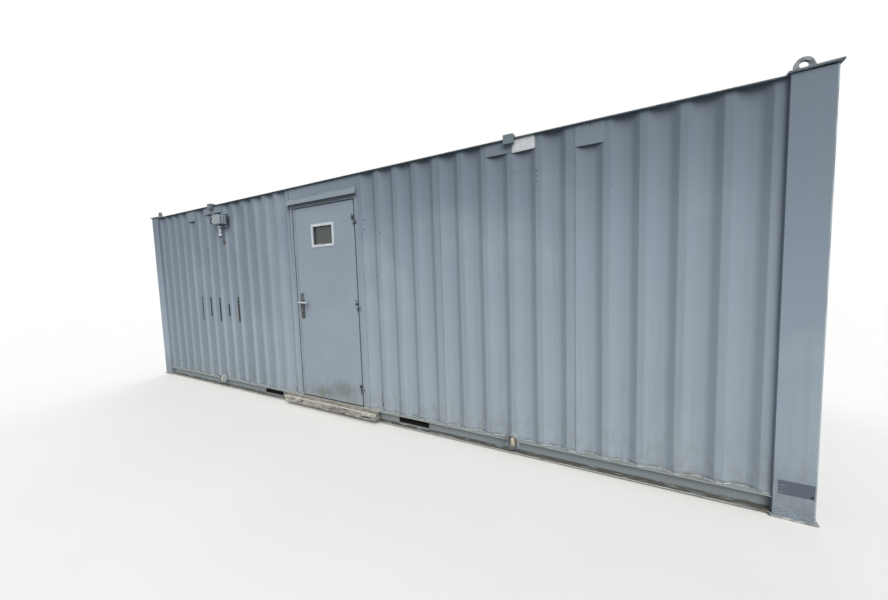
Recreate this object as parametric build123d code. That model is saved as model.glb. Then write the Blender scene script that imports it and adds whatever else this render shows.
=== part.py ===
from build123d import *
import math
import os

# Portable site cabin of welded steel, in millimetres. X runs along the cabin, the door side faces -Y,
# and Z is up from the ground.

# Overall size over the corner posts
length = 7320
width = 2740
post_height = 2380

# Corner posts: a folded angle with a return along each edge, between a base plate and a cap plate
post_leg = 180
post_t = 6
post_fold_radius = 10
base_plate_t = 12
base_plate_overhang = 10
cap_t = 12
cap_overhang = 12

# Lifting lug on each cap plate: a ring with a shoulder that slopes to the cabin's end
lug_t = 20
lug_ring_radius = 40
lug_hole_radius = 20
lug_hole_height = 43
lug_setback = 60
lug_hole_from_end = 114
lug_shoulder = 62

# Base frame: channels with their flanges outwards, joists and a deck
rail_height = 100
rail_t = 5
rail_setback = 5
joist_flange = 40
joist_t = 4
joist_spacing = 560
deck_t = 18

# Fork pockets: tubes from the front rail to the back rail
pocket_width = 335
pocket_height = 70
pocket_t = 5
pocket_spacing = 2040
pocket_shift = -15

# Trapezoid steel sheet of the walls and the roof
sheet_t = 2
sheet_depth = 26
sheet_slope_run = 44
sheet_valley = 75
sheet_pitch = 207
crest_setback = 25
weld_margin = 8
joint_extra = 26
joint_crests = (4, 9)

# Roof: edge bars on the wall sheets, and tubes behind the sheets under the roof sheet
edge_bar_t = 8
edge_bar_width = 100
edge_bar_setback = 5
top_rail_t = 3

# Insulated lining
lining_t = 60
ceiling_t = 80

# Door leaf, in a flat panel of the front wall
door_centre = -25
panel_margin_left = 59
panel_margin_right = 61
leaf_width = 870
wall_over_leaf = 231
leaf_t = 45
leaf_edge_round = 1.5
sill_t = 3
leaf_sill_gap = 6
hinge_gap = 5
lock_gap = 7
head_gap = 6
stop_gap = 5
stop_overlap = 12
pry_strip_width = 29
pry_strip_t = 4

# Pressed steel door frame
frame_t = 2
frame_face = 45
frame_lining_gap = 3

# Vision panel in the leaf
vision_width = 326
vision_height = 238
vision_below_top = 302
vision_bead = 24
vision_proud = 6
vision_liner_t = 2
glass_t = 6
glass_clearance = 1

# Lock plates and lever
lock_inset = 72
lock_height = 1039
lock_plate_width = 50
lock_plate_height = 272
lock_plate_t = 9
lock_plate_above = 99
lock_plate_bevel = 2
spindle_radius = 6
spindle_clearance = 0.1
lever_stand = 50
lever_length = 132
lever_width = 20
lever_t = 14
rose_radius = 14
lock_case_clearance = 0.3

# Hinges: two knuckles on a pin, each welded on by a flag
hinge_radius = 8
hinge_pin_radius = 5
hinge_pin_clearance = 0.08
hinge_knuckle = 50
hinge_washer_gap = 1
hinge_pin_recess = 1
hinge_flag = 28
hinge_flag_t = 3
hinge_stand = 0.5
hinge_from_foot = 180
hinge_from_top = 185

# Drip canopy over the door
canopy_t = 3
canopy_top_overhang = 40
canopy_lip_overhang = 70
canopy_drop = 66
canopy_lip = 12
canopy_reach = 42
canopy_above_leaf = 42

# Steel step under the door
step_overhang = 229
step_t = 4
step_reach = 60
step_drop = 68
step_fall = 6

# Cover plates, rainwater boxes and the blank sign plate near the roof edge
cover_t = 3
cover_lap = 8
cover_wide_troughs = (6, 7)
cover_wide_drop = 90
cover_narrow_troughs = (9, 9)
cover_narrow_drop = 141
rain_shift = -12
rain_spacing = 4003
rain_box_width = 76
rain_box_height = 66
rain_box_above = 22
rain_box_depth = 40
sign_width = 146
sign_height = 97
sign_t = 2
sign_gap = 0.3

# Drains at the bottom rail: a plastic elbow under a bent steel hood
spout_radius = 20
spout_wall = 3
spout_bend = 30
spout_bend_setback = 10
spout_above_rail = 35
spout_below_rail = 24
spout_clearance = 0.3
hood_radius = 40
hood_half_foot = 50
hood_t = 3
hood_reach = 40
hood_above_rail = 60
hood_below_rail = 27

# Power inlet high on the front wall
inlet_x = -1790
inlet_below_top = 212
inlet_width = 150
inlet_depth = 95
inlet_box_height = 120
inlet_plate_t = 4
inlet_plate_margin = 18
inlet_wall_bevel = 10
inlet_cap_radius = 46
inlet_cap_reach = 62
inlet_cap_rim = 6
inlet_cap_gap = 4
inlet_ribs = 4
inlet_rib_t = 4
inlet_gland_radius = 30
inlet_gland_tip = 17
inlet_gland_length = 150

# Levels and depths worked out from the sizes above
post_foot = base_plate_t
post_top = post_foot + post_height
rail_top = post_foot + rail_height
bar_bottom = post_top - edge_bar_t
valley_back = crest_setback + sheet_depth + sheet_t
web_back = valley_back
lining_back = valley_back + lining_t
top_rail_size = lining_t
pocket_top = rail_top - rail_t - pocket_t
pocket_foot = pocket_top - pocket_height
deck_foot = pocket_top + pocket_t
deck_edge = lining_back + frame_t
roof_rest = bar_bottom - sheet_depth - sheet_t
top_rail_foot = roof_rest - top_rail_size
trough = 2 * sheet_slope_run + sheet_valley
leaf_face = crest_setback
leaf_foot = rail_top + sill_t + leaf_sill_gap
leaf_top = post_top - wall_over_leaf
leaf_height = leaf_top - leaf_foot
hinge_levels = (
    leaf_foot + hinge_from_foot,
    leaf_foot + (hinge_from_foot + leaf_height - hinge_from_top) / 2,
    leaf_top - hinge_from_top,
)
leaf_left = door_centre - leaf_width / 2
leaf_right = door_centre + leaf_width / 2
opening_left = leaf_left - lock_gap
opening_right = leaf_right + hinge_gap
opening_top = leaf_top + head_gap
frame_left = opening_left - frame_face
frame_right = opening_right + frame_face
frame_top = opening_top + frame_face
stop_face = leaf_face + leaf_t + stop_gap
panel_left = frame_left - panel_margin_left
panel_right = frame_right + panel_margin_right
inner_half = length / 2 - post_leg

# The middle of the footprint is the origin, so everything moves back by half of what the front
# reaches out further than the back
front_reach = max(
    inlet_depth + inlet_plate_t + inlet_rib_t - crest_setback,
    step_reach,
    hood_reach,
)
back_reach = max(base_plate_overhang, cap_overhang)
shift_back = (front_reach - back_reach) / 2
home = Pos(0, shift_back, 0)

pieces = {}


def block(x, y, z):
    """A box between two values along each axis."""
    size = Box(x[1] - x[0], y[1] - y[0], z[1] - z[0])
    return Pos((x[0] + x[1]) / 2, (y[0] + y[1]) / 2, (z[0] + z[1]) / 2) * size


def wall(turn, reach):
    """The place of a wall: local X runs along it, local Y goes inwards from the posts' face."""
    return home * Rot(0, 0, turn) * Pos(0, -reach, 0)


def group(place, members):
    """One piece of several solids, each moved to the same place."""
    return Compound(children=[place * member for member in members])


front = wall(0, width / 2)
right = wall(90, length / 2)
back = wall(180, width / 2)
left = wall(270, length / 2)
corners = (
    (-length / 2, -width / 2, 0),
    (length / 2, -width / 2, 90),
    (length / 2, width / 2, 180),
    (-length / 2, width / 2, 270),
)


def post_profile():
    """The folded angle seen from above, its outer corner at the origin."""
    corner = (Align.MIN, Align.MIN)
    legs = Rectangle(post_leg, post_leg, align=corner)
    inner = Pos(post_t, post_t) * Rectangle(post_leg, post_leg, align=corner)
    angle = legs - inner
    edge_return = Pos(post_leg - post_t, 0) * Rectangle(post_t, valley_back, align=corner)
    side_return = Pos(0, post_leg - post_t) * Rectangle(valley_back, post_t, align=corner)
    profile = angle + edge_return + side_return
    outer = profile.vertices().sort_by(lambda v: v.X + v.Y)[0]
    return fillet(outer, post_fold_radius)


def corner_plate(overhang, bottom, thickness):
    """A square plate under or over a post, wider than it by the overhang."""
    span = (-overhang, post_leg + overhang)
    return block(span, span, (bottom, bottom + thickness))


def lifting_lug():
    """The lug over the front right post, seen from the front: ring, hole and sloping shoulder."""
    reach = math.hypot(lug_shoulder, lug_hole_height)
    tangent = math.atan2(-lug_hole_height, lug_shoulder) + math.acos(lug_ring_radius / reach)
    touch = (lug_ring_radius * math.cos(tangent), lug_hole_height + lug_ring_radius * math.sin(tangent))
    foot = Polygon(
        (-lug_ring_radius, 0),
        (lug_shoulder, 0),
        touch,
        (0, lug_hole_height),
        (-lug_ring_radius, lug_hole_height),
        align=None,
    )
    shape = foot + Pos(0, lug_hole_height) * Circle(lug_ring_radius)
    shape -= Pos(0, lug_hole_height) * Circle(lug_hole_radius)
    lug = Rot(90, 0, 0) * extrude(shape, lug_t)
    return Pos(length / 2 - lug_hole_from_end, -width / 2 + lug_setback + lug_t, post_top + cap_t) * lug


def build_corners():
    base_plates = []
    posts = []
    caps = []
    post = Pos(0, 0, post_foot) * extrude(post_profile(), post_height)
    for x, y, turn in corners:
        place = home * Pos(x, y, 0) * Rot(0, 0, turn)
        posts.append(place * post)
        base_plates.append(place * corner_plate(base_plate_overhang, 0, base_plate_t))
        caps.append(place * corner_plate(cap_overhang, post_top, cap_t))
    pieces["base_plates"] = Compound(children=base_plates)
    pieces["corner_posts"] = Compound(children=posts)
    pieces["cap_plates"] = Compound(children=caps)
    lug = lifting_lug()
    other_end = mirror(lug, about=Plane.YZ)
    lugs = [lug, other_end, mirror(lug, about=Plane.XZ), mirror(other_end, about=Plane.XZ)]
    pieces["lifting_lugs"] = group(home, lugs)


def channel(half):
    """A rail with its web inwards and its flanges towards the outside."""
    web = block((-half, half), (web_back - rail_t, web_back), (post_foot, rail_top))
    lower = block((-half, half), (rail_setback, web_back), (post_foot, post_foot + rail_t))
    upper = block((-half, half), (rail_setback, web_back), (rail_top - rail_t, rail_top))
    return web + lower + upper


pocket_centres = [pocket_shift - pocket_spacing / 2, pocket_shift + pocket_spacing / 2]
pocket_ends = []
for pocket_centre in pocket_centres:
    pocket_ends += [pocket_centre - pocket_width / 2, pocket_centre + pocket_width / 2]


def long_rail():
    """The flanges and the web plates of a long rail, whose web is open at the fork pockets."""
    web = (web_back - rail_t, web_back)
    whole = (-inner_half, inner_half)
    upper = block(whole, (rail_setback, web_back), (rail_top - rail_t, rail_top))
    lower = block(whole, (rail_setback, web_back), (post_foot, post_foot + rail_t))
    for span in zip(pocket_ends[0::2], pocket_ends[1::2]):
        upper += block(span, web, (pocket_top, rail_top - rail_t))
        lower += block(span, web, (post_foot + rail_t, pocket_foot))
    ends = [-inner_half, *pocket_ends, inner_half]
    tall = (post_foot + rail_t, rail_top - rail_t)
    webs = [block(span, web, tall) for span in zip(ends[0::2], ends[1::2])]
    return [upper, lower], webs


def fork_pocket(start, end):
    """The level plates and the side plates of a fork pocket, from web to web."""
    depth = (web_back - width / 2, width / 2 - web_back)
    whole = (start - pocket_t, end + pocket_t)
    level = [
        block(whole, depth, (pocket_top, pocket_top + pocket_t)),
        block(whole, depth, (pocket_foot - pocket_t, pocket_foot)),
    ]
    sides = [
        block((start - pocket_t, start), depth, (pocket_foot, pocket_top)),
        block((end, end + pocket_t), depth, (pocket_foot, pocket_top)),
    ]
    return level, sides


def joist(x):
    """A channel joist between the long rails, as high as the fork pockets and under the deck."""
    depth = (web_back - width / 2, width / 2 - web_back)
    foot = pocket_foot - pocket_t
    web = block((x, x + joist_t), depth, (foot, deck_foot))
    upper = block((x, x + joist_flange), depth, (deck_foot - joist_t, deck_foot))
    lower = block((x, x + joist_flange), depth, (foot, foot + joist_t))
    return web + upper + lower


def joist_places():
    """Even places in the three bays that the fork pockets leave."""
    ends = [web_back - length / 2]
    for start, end in zip(pocket_ends[0::2], pocket_ends[1::2]):
        ends += [start - pocket_t, end + pocket_t]
    ends.append(length / 2 - web_back)
    places = []
    for start, end in zip(ends[0::2], ends[1::2]):
        count = max(1, round((end - start) / joist_spacing) - 1)
        step = (end - start - joist_flange) / (count + 1)
        places += [start + step * (k + 1) for k in range(count)]
    return places


def both_rails(members):
    """The same pieces at the front and, as a mirror image, at the back, where the pockets come out."""
    behind = [back * mirror(member, about=Plane.YZ) for member in members]
    return Compound(children=[front * member for member in members] + behind)


def build_base():
    flanges, webs = long_rail()
    pieces["base_rail_flanges"] = both_rails(flanges)
    pieces["base_rail_webs"] = both_rails(webs)
    end_rail = channel(width / 2 - post_leg)
    pieces["base_rails_end"] = Compound(children=[left * end_rail, right * end_rail])
    levels = []
    sides = []
    for start, end in zip(pocket_ends[0::2], pocket_ends[1::2]):
        level_pair, side_pair = fork_pocket(start, end)
        levels += level_pair
        sides += side_pair
    pieces["fork_pocket_plates"] = group(home, levels)
    pieces["fork_pocket_sides"] = group(home, sides)
    pieces["floor_joists"] = group(home, [joist(x) for x in joist_places()])
    deck_x = length / 2 - deck_edge
    deck_y = width / 2 - deck_edge
    deck = block((-deck_x, deck_x), (-deck_y, deck_y), (deck_foot, deck_foot + deck_t))
    pieces["floor_deck"] = home * deck


def sheet(run, starts, height):
    """Trapezoid sheet on a crest's level, with a trough at each of the starting places."""
    lean = sheet_t * math.tan(math.atan2(sheet_depth, sheet_slope_run) / 2)
    outer = [(0, 0)]
    inner = [(0, sheet_t)]
    for x in starts:
        foot = x + sheet_slope_run
        rise = foot + sheet_valley
        end = rise + sheet_slope_run
        outer += [(x, 0), (foot, sheet_depth), (rise, sheet_depth), (end, 0)]
        inner += [(x - lean, sheet_t), (foot - lean, sheet_depth + sheet_t)]
        inner += [(rise + lean, sheet_depth + sheet_t), (end + lean, sheet_t)]
    outer.append((run, 0))
    inner.append((run, sheet_t))
    profile = Polygon(*outer, *reversed(inner), align=None)
    return extrude(profile, height)


def centred_sheet(run, height):
    """A sheet with whole troughs and the same crest left at both ends."""
    troughs = int((run - 2 * weld_margin - trough) // sheet_pitch) + 1
    lead = (run - (troughs - 1) * sheet_pitch - trough) / 2
    return sheet(run, [lead + k * sheet_pitch for k in range(troughs)], height)


def front_troughs(run):
    """Where the troughs of a front sheet start, from the door's side; joints are on wider crests."""
    starts = []
    x = weld_margin
    while x + trough < run:
        starts.append(x)
        x += sheet_pitch + (joint_extra if len(starts) in joint_crests else 0)
    return starts


left_run = panel_left + weld_margin + inner_half
right_run = inner_half - panel_right + weld_margin


def build_walls():
    height = bar_bottom - rail_top
    left_sheet = mirror(sheet(left_run, front_troughs(left_run), height), about=Plane.YZ)
    left_sheet = Pos(panel_left + weld_margin, crest_setback, rail_top) * left_sheet
    pieces["front_sheet_left"] = front * (left_sheet - spout_cut(rain_places[0]))
    right_sheet = sheet(right_run, front_troughs(right_run), height)
    right_sheet = Pos(panel_right - weld_margin, crest_setback, rail_top) * right_sheet
    pieces["front_sheet_right"] = front * (right_sheet - spout_cut(rain_places[1]))
    back_sheet = Pos(-inner_half, crest_setback, rail_top) * centred_sheet(2 * inner_half, height)
    pieces["back_sheet"] = back * back_sheet
    end_half = width / 2 - post_leg
    end_sheet = Pos(-end_half, crest_setback, rail_top) * centred_sheet(2 * end_half, height)
    pieces["end_sheet_left"] = left * end_sheet
    pieces["end_sheet_right"] = right * end_sheet


def build_door_panel():
    """The flat panel of the front wall, beside and over the door frame."""
    skin = (crest_setback, crest_setback + sheet_t)
    tall = (rail_top, bar_bottom)
    sides = [
        block((panel_left + weld_margin, frame_left), skin, tall),
        block((frame_right, panel_right - weld_margin), skin, tall),
    ]
    pieces["door_panel_sides"] = group(front, sides)
    over = block((frame_left, frame_right), skin, (frame_top, bar_bottom))
    pieces["door_panel_over"] = front * over


def build_linings():
    """Insulation and board behind the sheets, from the joists to the top rails."""
    side = (valley_back, lining_back)
    tall = (deck_foot, top_rail_foot)
    end_half = width / 2 - valley_back
    end_lining = block((-end_half, end_half), side, tall)
    pieces["end_linings"] = Compound(children=[left * end_lining, right * end_lining])
    reach = length / 2 - lining_back
    edge_left = opening_left - frame_t - frame_lining_gap
    edge_right = opening_right + frame_t + frame_lining_gap
    front_left = front * block((-reach, edge_left), side, tall)
    front_right = front * block((edge_right, reach), side, tall)
    behind = back * block((-reach, reach), side, tall)
    pieces["side_linings"] = Compound(children=[front_left, front_right, behind])
    over = (opening_top + frame_t + frame_lining_gap, top_rail_foot)
    pieces["lining_over_door"] = front * block((edge_left, edge_right), side, over)
    ceiling_x = length / 2 - lining_back
    ceiling_y = width / 2 - lining_back
    level = (roof_rest - ceiling_t, roof_rest)
    ceiling = block((-ceiling_x, ceiling_x), (-ceiling_y, ceiling_y), level)
    pieces["ceiling"] = home * ceiling


def top_rail(half):
    """A square tube behind the top of a wall sheet."""
    depth = (valley_back, valley_back + top_rail_size)
    outer = block((-half, half), depth, (top_rail_foot, roof_rest))
    hollow = block(
        (-length, length),
        (valley_back + top_rail_t, valley_back + top_rail_size - top_rail_t),
        (top_rail_foot + top_rail_t, roof_rest - top_rail_t),
    )
    return outer - hollow


def build_roof():
    long_tube = top_rail(length / 2 - valley_back - top_rail_size)
    end_tube = top_rail(width / 2 - valley_back)
    pieces["top_rails_long"] = Compound(children=[front * long_tube, back * long_tube])
    pieces["top_rails_end"] = Compound(children=[left * end_tube, right * end_tube])
    run = length - 2 * valley_back
    span = width - 2 * valley_back
    laid = Rot(-90, 0, 0) * centred_sheet(run, span)
    pieces["roof_sheet"] = home * Pos(-run / 2, -span / 2, bar_bottom) * laid
    depth = (edge_bar_setback, edge_bar_setback + edge_bar_width)
    level = (bar_bottom, post_top)
    long_bar = block((-inner_half, inner_half), depth, level)
    end_half = width / 2 - post_leg
    end_bar = block((-end_half, end_half), depth, level)
    bars = [front * long_bar, back * long_bar, left * end_bar, right * end_bar]
    pieces["roof_edge_bars"] = Compound(children=bars)


def jamb(edge, outward):
    """One side of the door frame; outward is -1 for the lock side and 1 for the hinge side."""
    tall = (rail_top, opening_top)

    def strip(start, end, depth):
        ends = sorted((edge + outward * start, edge + outward * end))
        return block(ends, depth, tall)

    face = strip(0, frame_face, (leaf_face, leaf_face + frame_t))
    reveal = strip(0, frame_t, (leaf_face, stop_face + frame_t))
    stop = strip(-stop_overlap, frame_t, (stop_face, stop_face + frame_t))
    inner = strip(-stop_overlap, frame_t - stop_overlap, (stop_face, lining_back + frame_t))
    trim = strip(-stop_overlap, frame_face, (lining_back, lining_back + frame_t))
    return face + reveal + stop + inner + trim


def frame_head():
    """The top of the door frame, over both jambs."""
    wide = (frame_left, frame_right)
    between = (opening_left - frame_t, opening_right + frame_t)
    stops = (opening_left + stop_overlap, opening_right - stop_overlap)
    face = block(wide, (leaf_face, leaf_face + frame_t), (opening_top, frame_top))
    reveal = block(between, (leaf_face, stop_face + frame_t), (opening_top, opening_top + frame_t))
    stop_foot = opening_top - stop_overlap
    stop = block(stops, (stop_face, stop_face + frame_t), (stop_foot, opening_top + frame_t))
    inner = block(stops, (stop_face, lining_back + frame_t), (stop_foot, stop_foot + frame_t))
    trim_foot = block(stops, (lining_back, lining_back + frame_t), (stop_foot, opening_top))
    trim = block(wide, (lining_back, lining_back + frame_t), (opening_top, frame_top))
    return face + reveal + stop + inner + trim_foot + trim


def build_frame():
    jambs = [jamb(opening_left, -1), jamb(opening_right, 1)]
    pieces["door_jambs"] = group(front, jambs)
    pieces["door_frame_head"] = front * frame_head()
    sill_front = (opening_left, opening_right)
    sill = block(sill_front, (leaf_face, stop_face), (rail_top, rail_top + sill_t))
    sill += block(
        (opening_left + stop_overlap, opening_right - stop_overlap),
        (stop_face, lining_back + frame_t),
        (rail_top, rail_top + sill_t),
    )
    pieces["door_sill"] = front * sill


def build_canopy():
    """A bent sheet whose lip is wider than its top edge, so its ends slant."""
    lip_foot = leaf_top + canopy_above_leaf
    top = lip_foot + canopy_lip + canopy_drop
    nose = crest_setback - canopy_reach
    bend = lip_foot + canopy_lip
    slant = math.atan2(canopy_drop, canopy_reach)
    thick = canopy_t / math.sin(slant)
    section = Polygon(
        (crest_setback, top),
        (nose, bend),
        (nose, lip_foot),
        (nose + canopy_t, lip_foot),
        (nose + canopy_t, bend - canopy_t / 2),
        (crest_setback, top - thick * canopy_drop / canopy_reach),
        align=None,
    )
    top_half = leaf_width / 2 + canopy_top_overhang
    lip_half = leaf_width / 2 + canopy_lip_overhang
    sweep = extrude(Plane.YZ * section, lip_half, both=True)
    outline = Polygon(
        (-top_half, top),
        (-lip_half, bend),
        (-lip_half, lip_foot),
        (lip_half, lip_foot),
        (lip_half, bend),
        (top_half, top),
        align=None,
    )
    prism = extrude(Plane.XZ * outline, width, both=True)
    pieces["canopy"] = front * Pos(door_centre, 0, 0) * (sweep & prism)


def build_step():
    """A bent plate that lies on the rail's upper flange, with an end plate at each end."""
    nose = -step_reach
    back_edge = crest_setback
    top = rail_top + sill_t
    step_half = leaf_width / 2 + step_overhang
    tread = Polygon(
        (back_edge, top),
        (rail_setback, top),
        (nose, top - step_fall),
        (nose, top - step_fall - step_drop),
        (nose + step_t, top - step_fall - step_drop),
        (nose + step_t, top - step_fall - step_t),
        (rail_setback, rail_top - sill_t),
        (rail_setback, rail_top),
        (back_edge, rail_top),
        align=None,
    )
    plate = extrude(Plane.YZ * tread, step_half, both=True)
    cheek = Polygon(
        (rail_setback, rail_top - sill_t),
        (nose + step_t, top - step_fall - step_t),
        (nose + step_t, top - step_fall - step_drop),
        (rail_setback, top - step_fall - step_drop),
        align=None,
    )
    end = extrude(Plane.YZ * cheek, step_t)
    plate += Pos(step_half - step_t, 0, 0) * end + Pos(-step_half, 0, 0) * end
    pieces["door_step"] = front * Pos(door_centre, 0, 0) * plate


def build_leaf():
    """A flat leaf with the vision panel's hole and a flat bar that covers the gap at the lock."""
    panel = block(
        (leaf_left, leaf_right),
        (leaf_face, leaf_face + leaf_t),
        (leaf_foot, leaf_top),
    )
    panel = fillet(panel.edges().filter_by(Axis.Z), leaf_edge_round)
    hole_width = vision_width - 2 * vision_bead
    hole_height = vision_height - 2 * vision_bead
    vision = Pos(door_centre, 0, leaf_top - vision_below_top)
    panel -= vision * block(
        (-hole_width / 2, hole_width / 2),
        (0, width / 2),
        (-hole_height / 2, hole_height / 2),
    )
    spindle = Pos(leaf_left + lock_inset, leaf_face + leaf_t / 2, leaf_foot + lock_height)
    panel -= spindle * Rot(90, 0, 0) * Cylinder(spindle_radius + spindle_clearance, 2 * leaf_t)
    strip_start = leaf_left + leaf_edge_round
    panel += block(
        (strip_start, strip_start + pry_strip_width),
        (leaf_face - pry_strip_t, leaf_face),
        (leaf_foot, leaf_top),
    )
    pieces["door_leaf"] = front * panel

    bead = Rectangle(vision_width, vision_height) - Rectangle(hole_width, hole_height)
    rim = extrude(Plane.XZ * bead, vision_proud)
    clear_width = hole_width - 2 * vision_liner_t
    clear_height = hole_height - 2 * vision_liner_t
    liner = Rectangle(hole_width, hole_height) - Rectangle(clear_width, clear_height)
    liner = extrude(Plane.XZ * liner, vision_proud + leaf_t / 2 - glass_t / 2)
    liner = Pos(0, leaf_face + leaf_t / 2 - glass_t / 2, 0) * liner
    outside = vision * (Pos(0, leaf_face, 0) * rim + liner)
    mid_plane = Plane((0, leaf_face + leaf_t / 2, 0), z_dir=(0, 1, 0))
    inside = mirror(outside, about=mid_plane)
    pieces["vision_frame"] = group(front, [outside, inside])
    glass = block(
        (-hole_width / 2 + glass_clearance, hole_width / 2 - glass_clearance),
        (leaf_face + leaf_t / 2 - glass_t / 2, leaf_face + leaf_t / 2 + glass_t / 2),
        (-hole_height / 2 + glass_clearance, hole_height / 2 - glass_clearance),
    )
    pieces["vision_glass"] = front * vision * glass


def build_lock():
    spindle_x = leaf_left + lock_inset
    spindle_z = leaf_foot + lock_height
    plate = Rectangle(lock_plate_width, lock_plate_height)
    plate = fillet(plate.vertices(), lock_plate_width / 4)
    plate = Pos(0, lock_plate_above - lock_plate_height / 2) * plate
    plate = extrude(Plane.XZ * plate, lock_plate_t)
    plate = chamfer(plate.faces().sort_by(Axis.Y)[0].edges(), lock_plate_bevel)
    plate -= Rot(90, 0, 0) * Cylinder(spindle_radius + spindle_clearance, 4 * lock_plate_t)
    outside = Pos(spindle_x, leaf_face, spindle_z) * plate
    mid_plane = Plane((0, leaf_face + leaf_t / 2, 0), z_dir=(0, 1, 0))
    pieces["lock_plates"] = group(front, [outside, mirror(outside, about=mid_plane)])

    plate_face = leaf_face - lock_plate_t - lock_case_clearance
    grip_back = plate_face - lever_stand + lever_t
    neck = Rot(90, 0, 0) * Cylinder(rose_radius, plate_face - grip_back)
    neck = Pos(0, (plate_face + grip_back) / 2, 0) * neck
    grip = SlotCenterToCenter(lever_length - lever_width / 2, lever_width)
    grip = Pos((lever_length - lever_width / 2) / 2, 0) * grip
    grip = extrude(Plane.XZ * grip, lever_t)
    outer_half = neck + Pos(0, grip_back, 0) * grip
    inner_half_lever = mirror(outer_half, about=mid_plane)
    spindle_length = leaf_t + 2 * (lock_plate_t + lock_case_clearance)
    spindle = Rot(90, 0, 0) * Cylinder(spindle_radius, spindle_length)
    spindle = Pos(0, leaf_face + leaf_t / 2, 0) * spindle
    lever = outer_half + inner_half_lever + spindle
    pieces["lever_handle"] = front * Pos(spindle_x, 0, spindle_z) * lever


hinge_x = leaf_right + hinge_gap / 2
hinge_y = leaf_face - hinge_radius - hinge_stand


def knuckle(bottom, side):
    """One half of a hinge; side is -1 for the flag on the leaf and 1 for the flag on the frame."""
    barrel = Pos(0, 0, bottom) * Cylinder(
        hinge_radius, hinge_knuckle, align=(Align.CENTER, Align.CENTER, Align.MIN)
    )
    start = hinge_gap / 2
    ends = sorted((0, side * (start + hinge_flag)))
    plate = block(
        ends,
        (leaf_face - hinge_y - hinge_flag_t, leaf_face - hinge_y),
        (bottom, bottom + hinge_knuckle),
    )
    inner_ends = sorted((side * -hinge_radius, side * start))
    relief_depth = (leaf_face - hinge_y - hinge_stand, leaf_face - hinge_y)
    relief = block(inner_ends, relief_depth, (bottom, bottom + hinge_knuckle))
    return barrel + (plate - relief)


def build_hinges():
    fixed = []
    moving = []
    for middle in hinge_levels:
        place = Pos(hinge_x, hinge_y, 0)
        lower = knuckle(middle - hinge_knuckle - hinge_washer_gap / 2, 1)
        pin_length = 2 * (hinge_knuckle - hinge_pin_recess)
        pin = Pos(0, 0, middle) * Cylinder(hinge_pin_radius, pin_length)
        fixed.append(place * (lower + pin))
        upper = knuckle(middle + hinge_washer_gap / 2, -1)
        bore = Cylinder(hinge_pin_radius + hinge_pin_clearance, 4 * hinge_knuckle)
        bore = Pos(0, 0, middle) * bore
        moving.append(place * (upper - bore))
    pieces["hinges_frame_side"] = group(front, fixed)
    pieces["hinges_leaf_side"] = group(front, moving)


def crest_near(wanted):
    """The middle of the crest of the front sheets that lies nearest to a place along the wall."""
    left_starts = front_troughs(left_run)
    right_starts = front_troughs(right_run)
    crests = []
    for near, far in zip(left_starts, left_starts[1:]):
        crests.append(panel_left + weld_margin - (near + trough + far) / 2)
    for near, far in zip(right_starts, right_starts[1:]):
        crests.append(panel_right - weld_margin + (near + trough + far) / 2)
    return min(crests, key=lambda x: abs(x - wanted))


rain_places = [crest_near(rain_shift - rain_spacing / 2), crest_near(rain_shift + rain_spacing / 2)]
cover_face = crest_setback - cover_t
spout_level = rail_top + spout_above_rail


def spout_cut(centre):
    """What the drain pipe takes out of the sheet's crest."""
    hole = Cylinder(spout_radius + spout_clearance, valley_back)
    return Pos(centre, valley_back / 2, spout_level) * Rot(90, 0, 0) * hole


def drain_elbow():
    """A plastic pipe that comes out through the crest and bends down in front of the rail."""
    ring = Circle(spout_radius) - Circle(spout_radius - spout_wall)
    drop_y = spout_bend_setback - spout_bend
    path = Polyline(
        (0, valley_back, spout_level),
        (0, spout_bend_setback, spout_level),
        (0, drop_y, spout_level - spout_bend),
        (0, drop_y, rail_top - spout_below_rail),
    )
    mouth = Plane((0, valley_back, spout_level), z_dir=(0, -1, 0)) * ring
    return sweep(mouth, path=path, transition=Transition.RIGHT)


def drain_hood():
    """A bent plate over the drain pipe: round at the top, with legs that spread a little."""
    foot = rail_top - hood_below_rail
    middle = rail_top + hood_above_rail - hood_radius

    def arch(inset):
        radius = hood_radius - inset
        half_foot = hood_half_foot - inset
        legs = Polygon(
            (-half_foot, foot),
            (half_foot, foot),
            (radius, middle),
            (-radius, middle),
            align=None,
        )
        return legs + Pos(0, middle) * Circle(radius)

    shape = arch(0) - arch(hood_t)
    depth = crest_setback + hood_reach
    hood = Pos(0, crest_setback, 0) * extrude(Plane.XZ * shape, depth, dir=(0, -1, 0))
    rail_edge = (rail_setback - spout_clearance, valley_back)
    return hood - block((-width, width), rail_edge, (0, rail_top + spout_clearance))


def cover_plates(sheet_edge, side, run):
    """Flat plates over the upper ends of troughs; side is -1 for the sheet left of the door."""
    starts = front_troughs(run)
    covers = ((cover_wide_troughs, cover_wide_drop), (cover_narrow_troughs, cover_narrow_drop))
    plates = []
    for (first, last), drop in covers:
        near = sheet_edge + side * (starts[first] - cover_lap)
        far = sheet_edge + side * (starts[last] + trough + cover_lap)
        level = (bar_bottom - drop, bar_bottom)
        plates.append(block(sorted((near, far)), (cover_face, crest_setback), level))
    return plates


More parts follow.
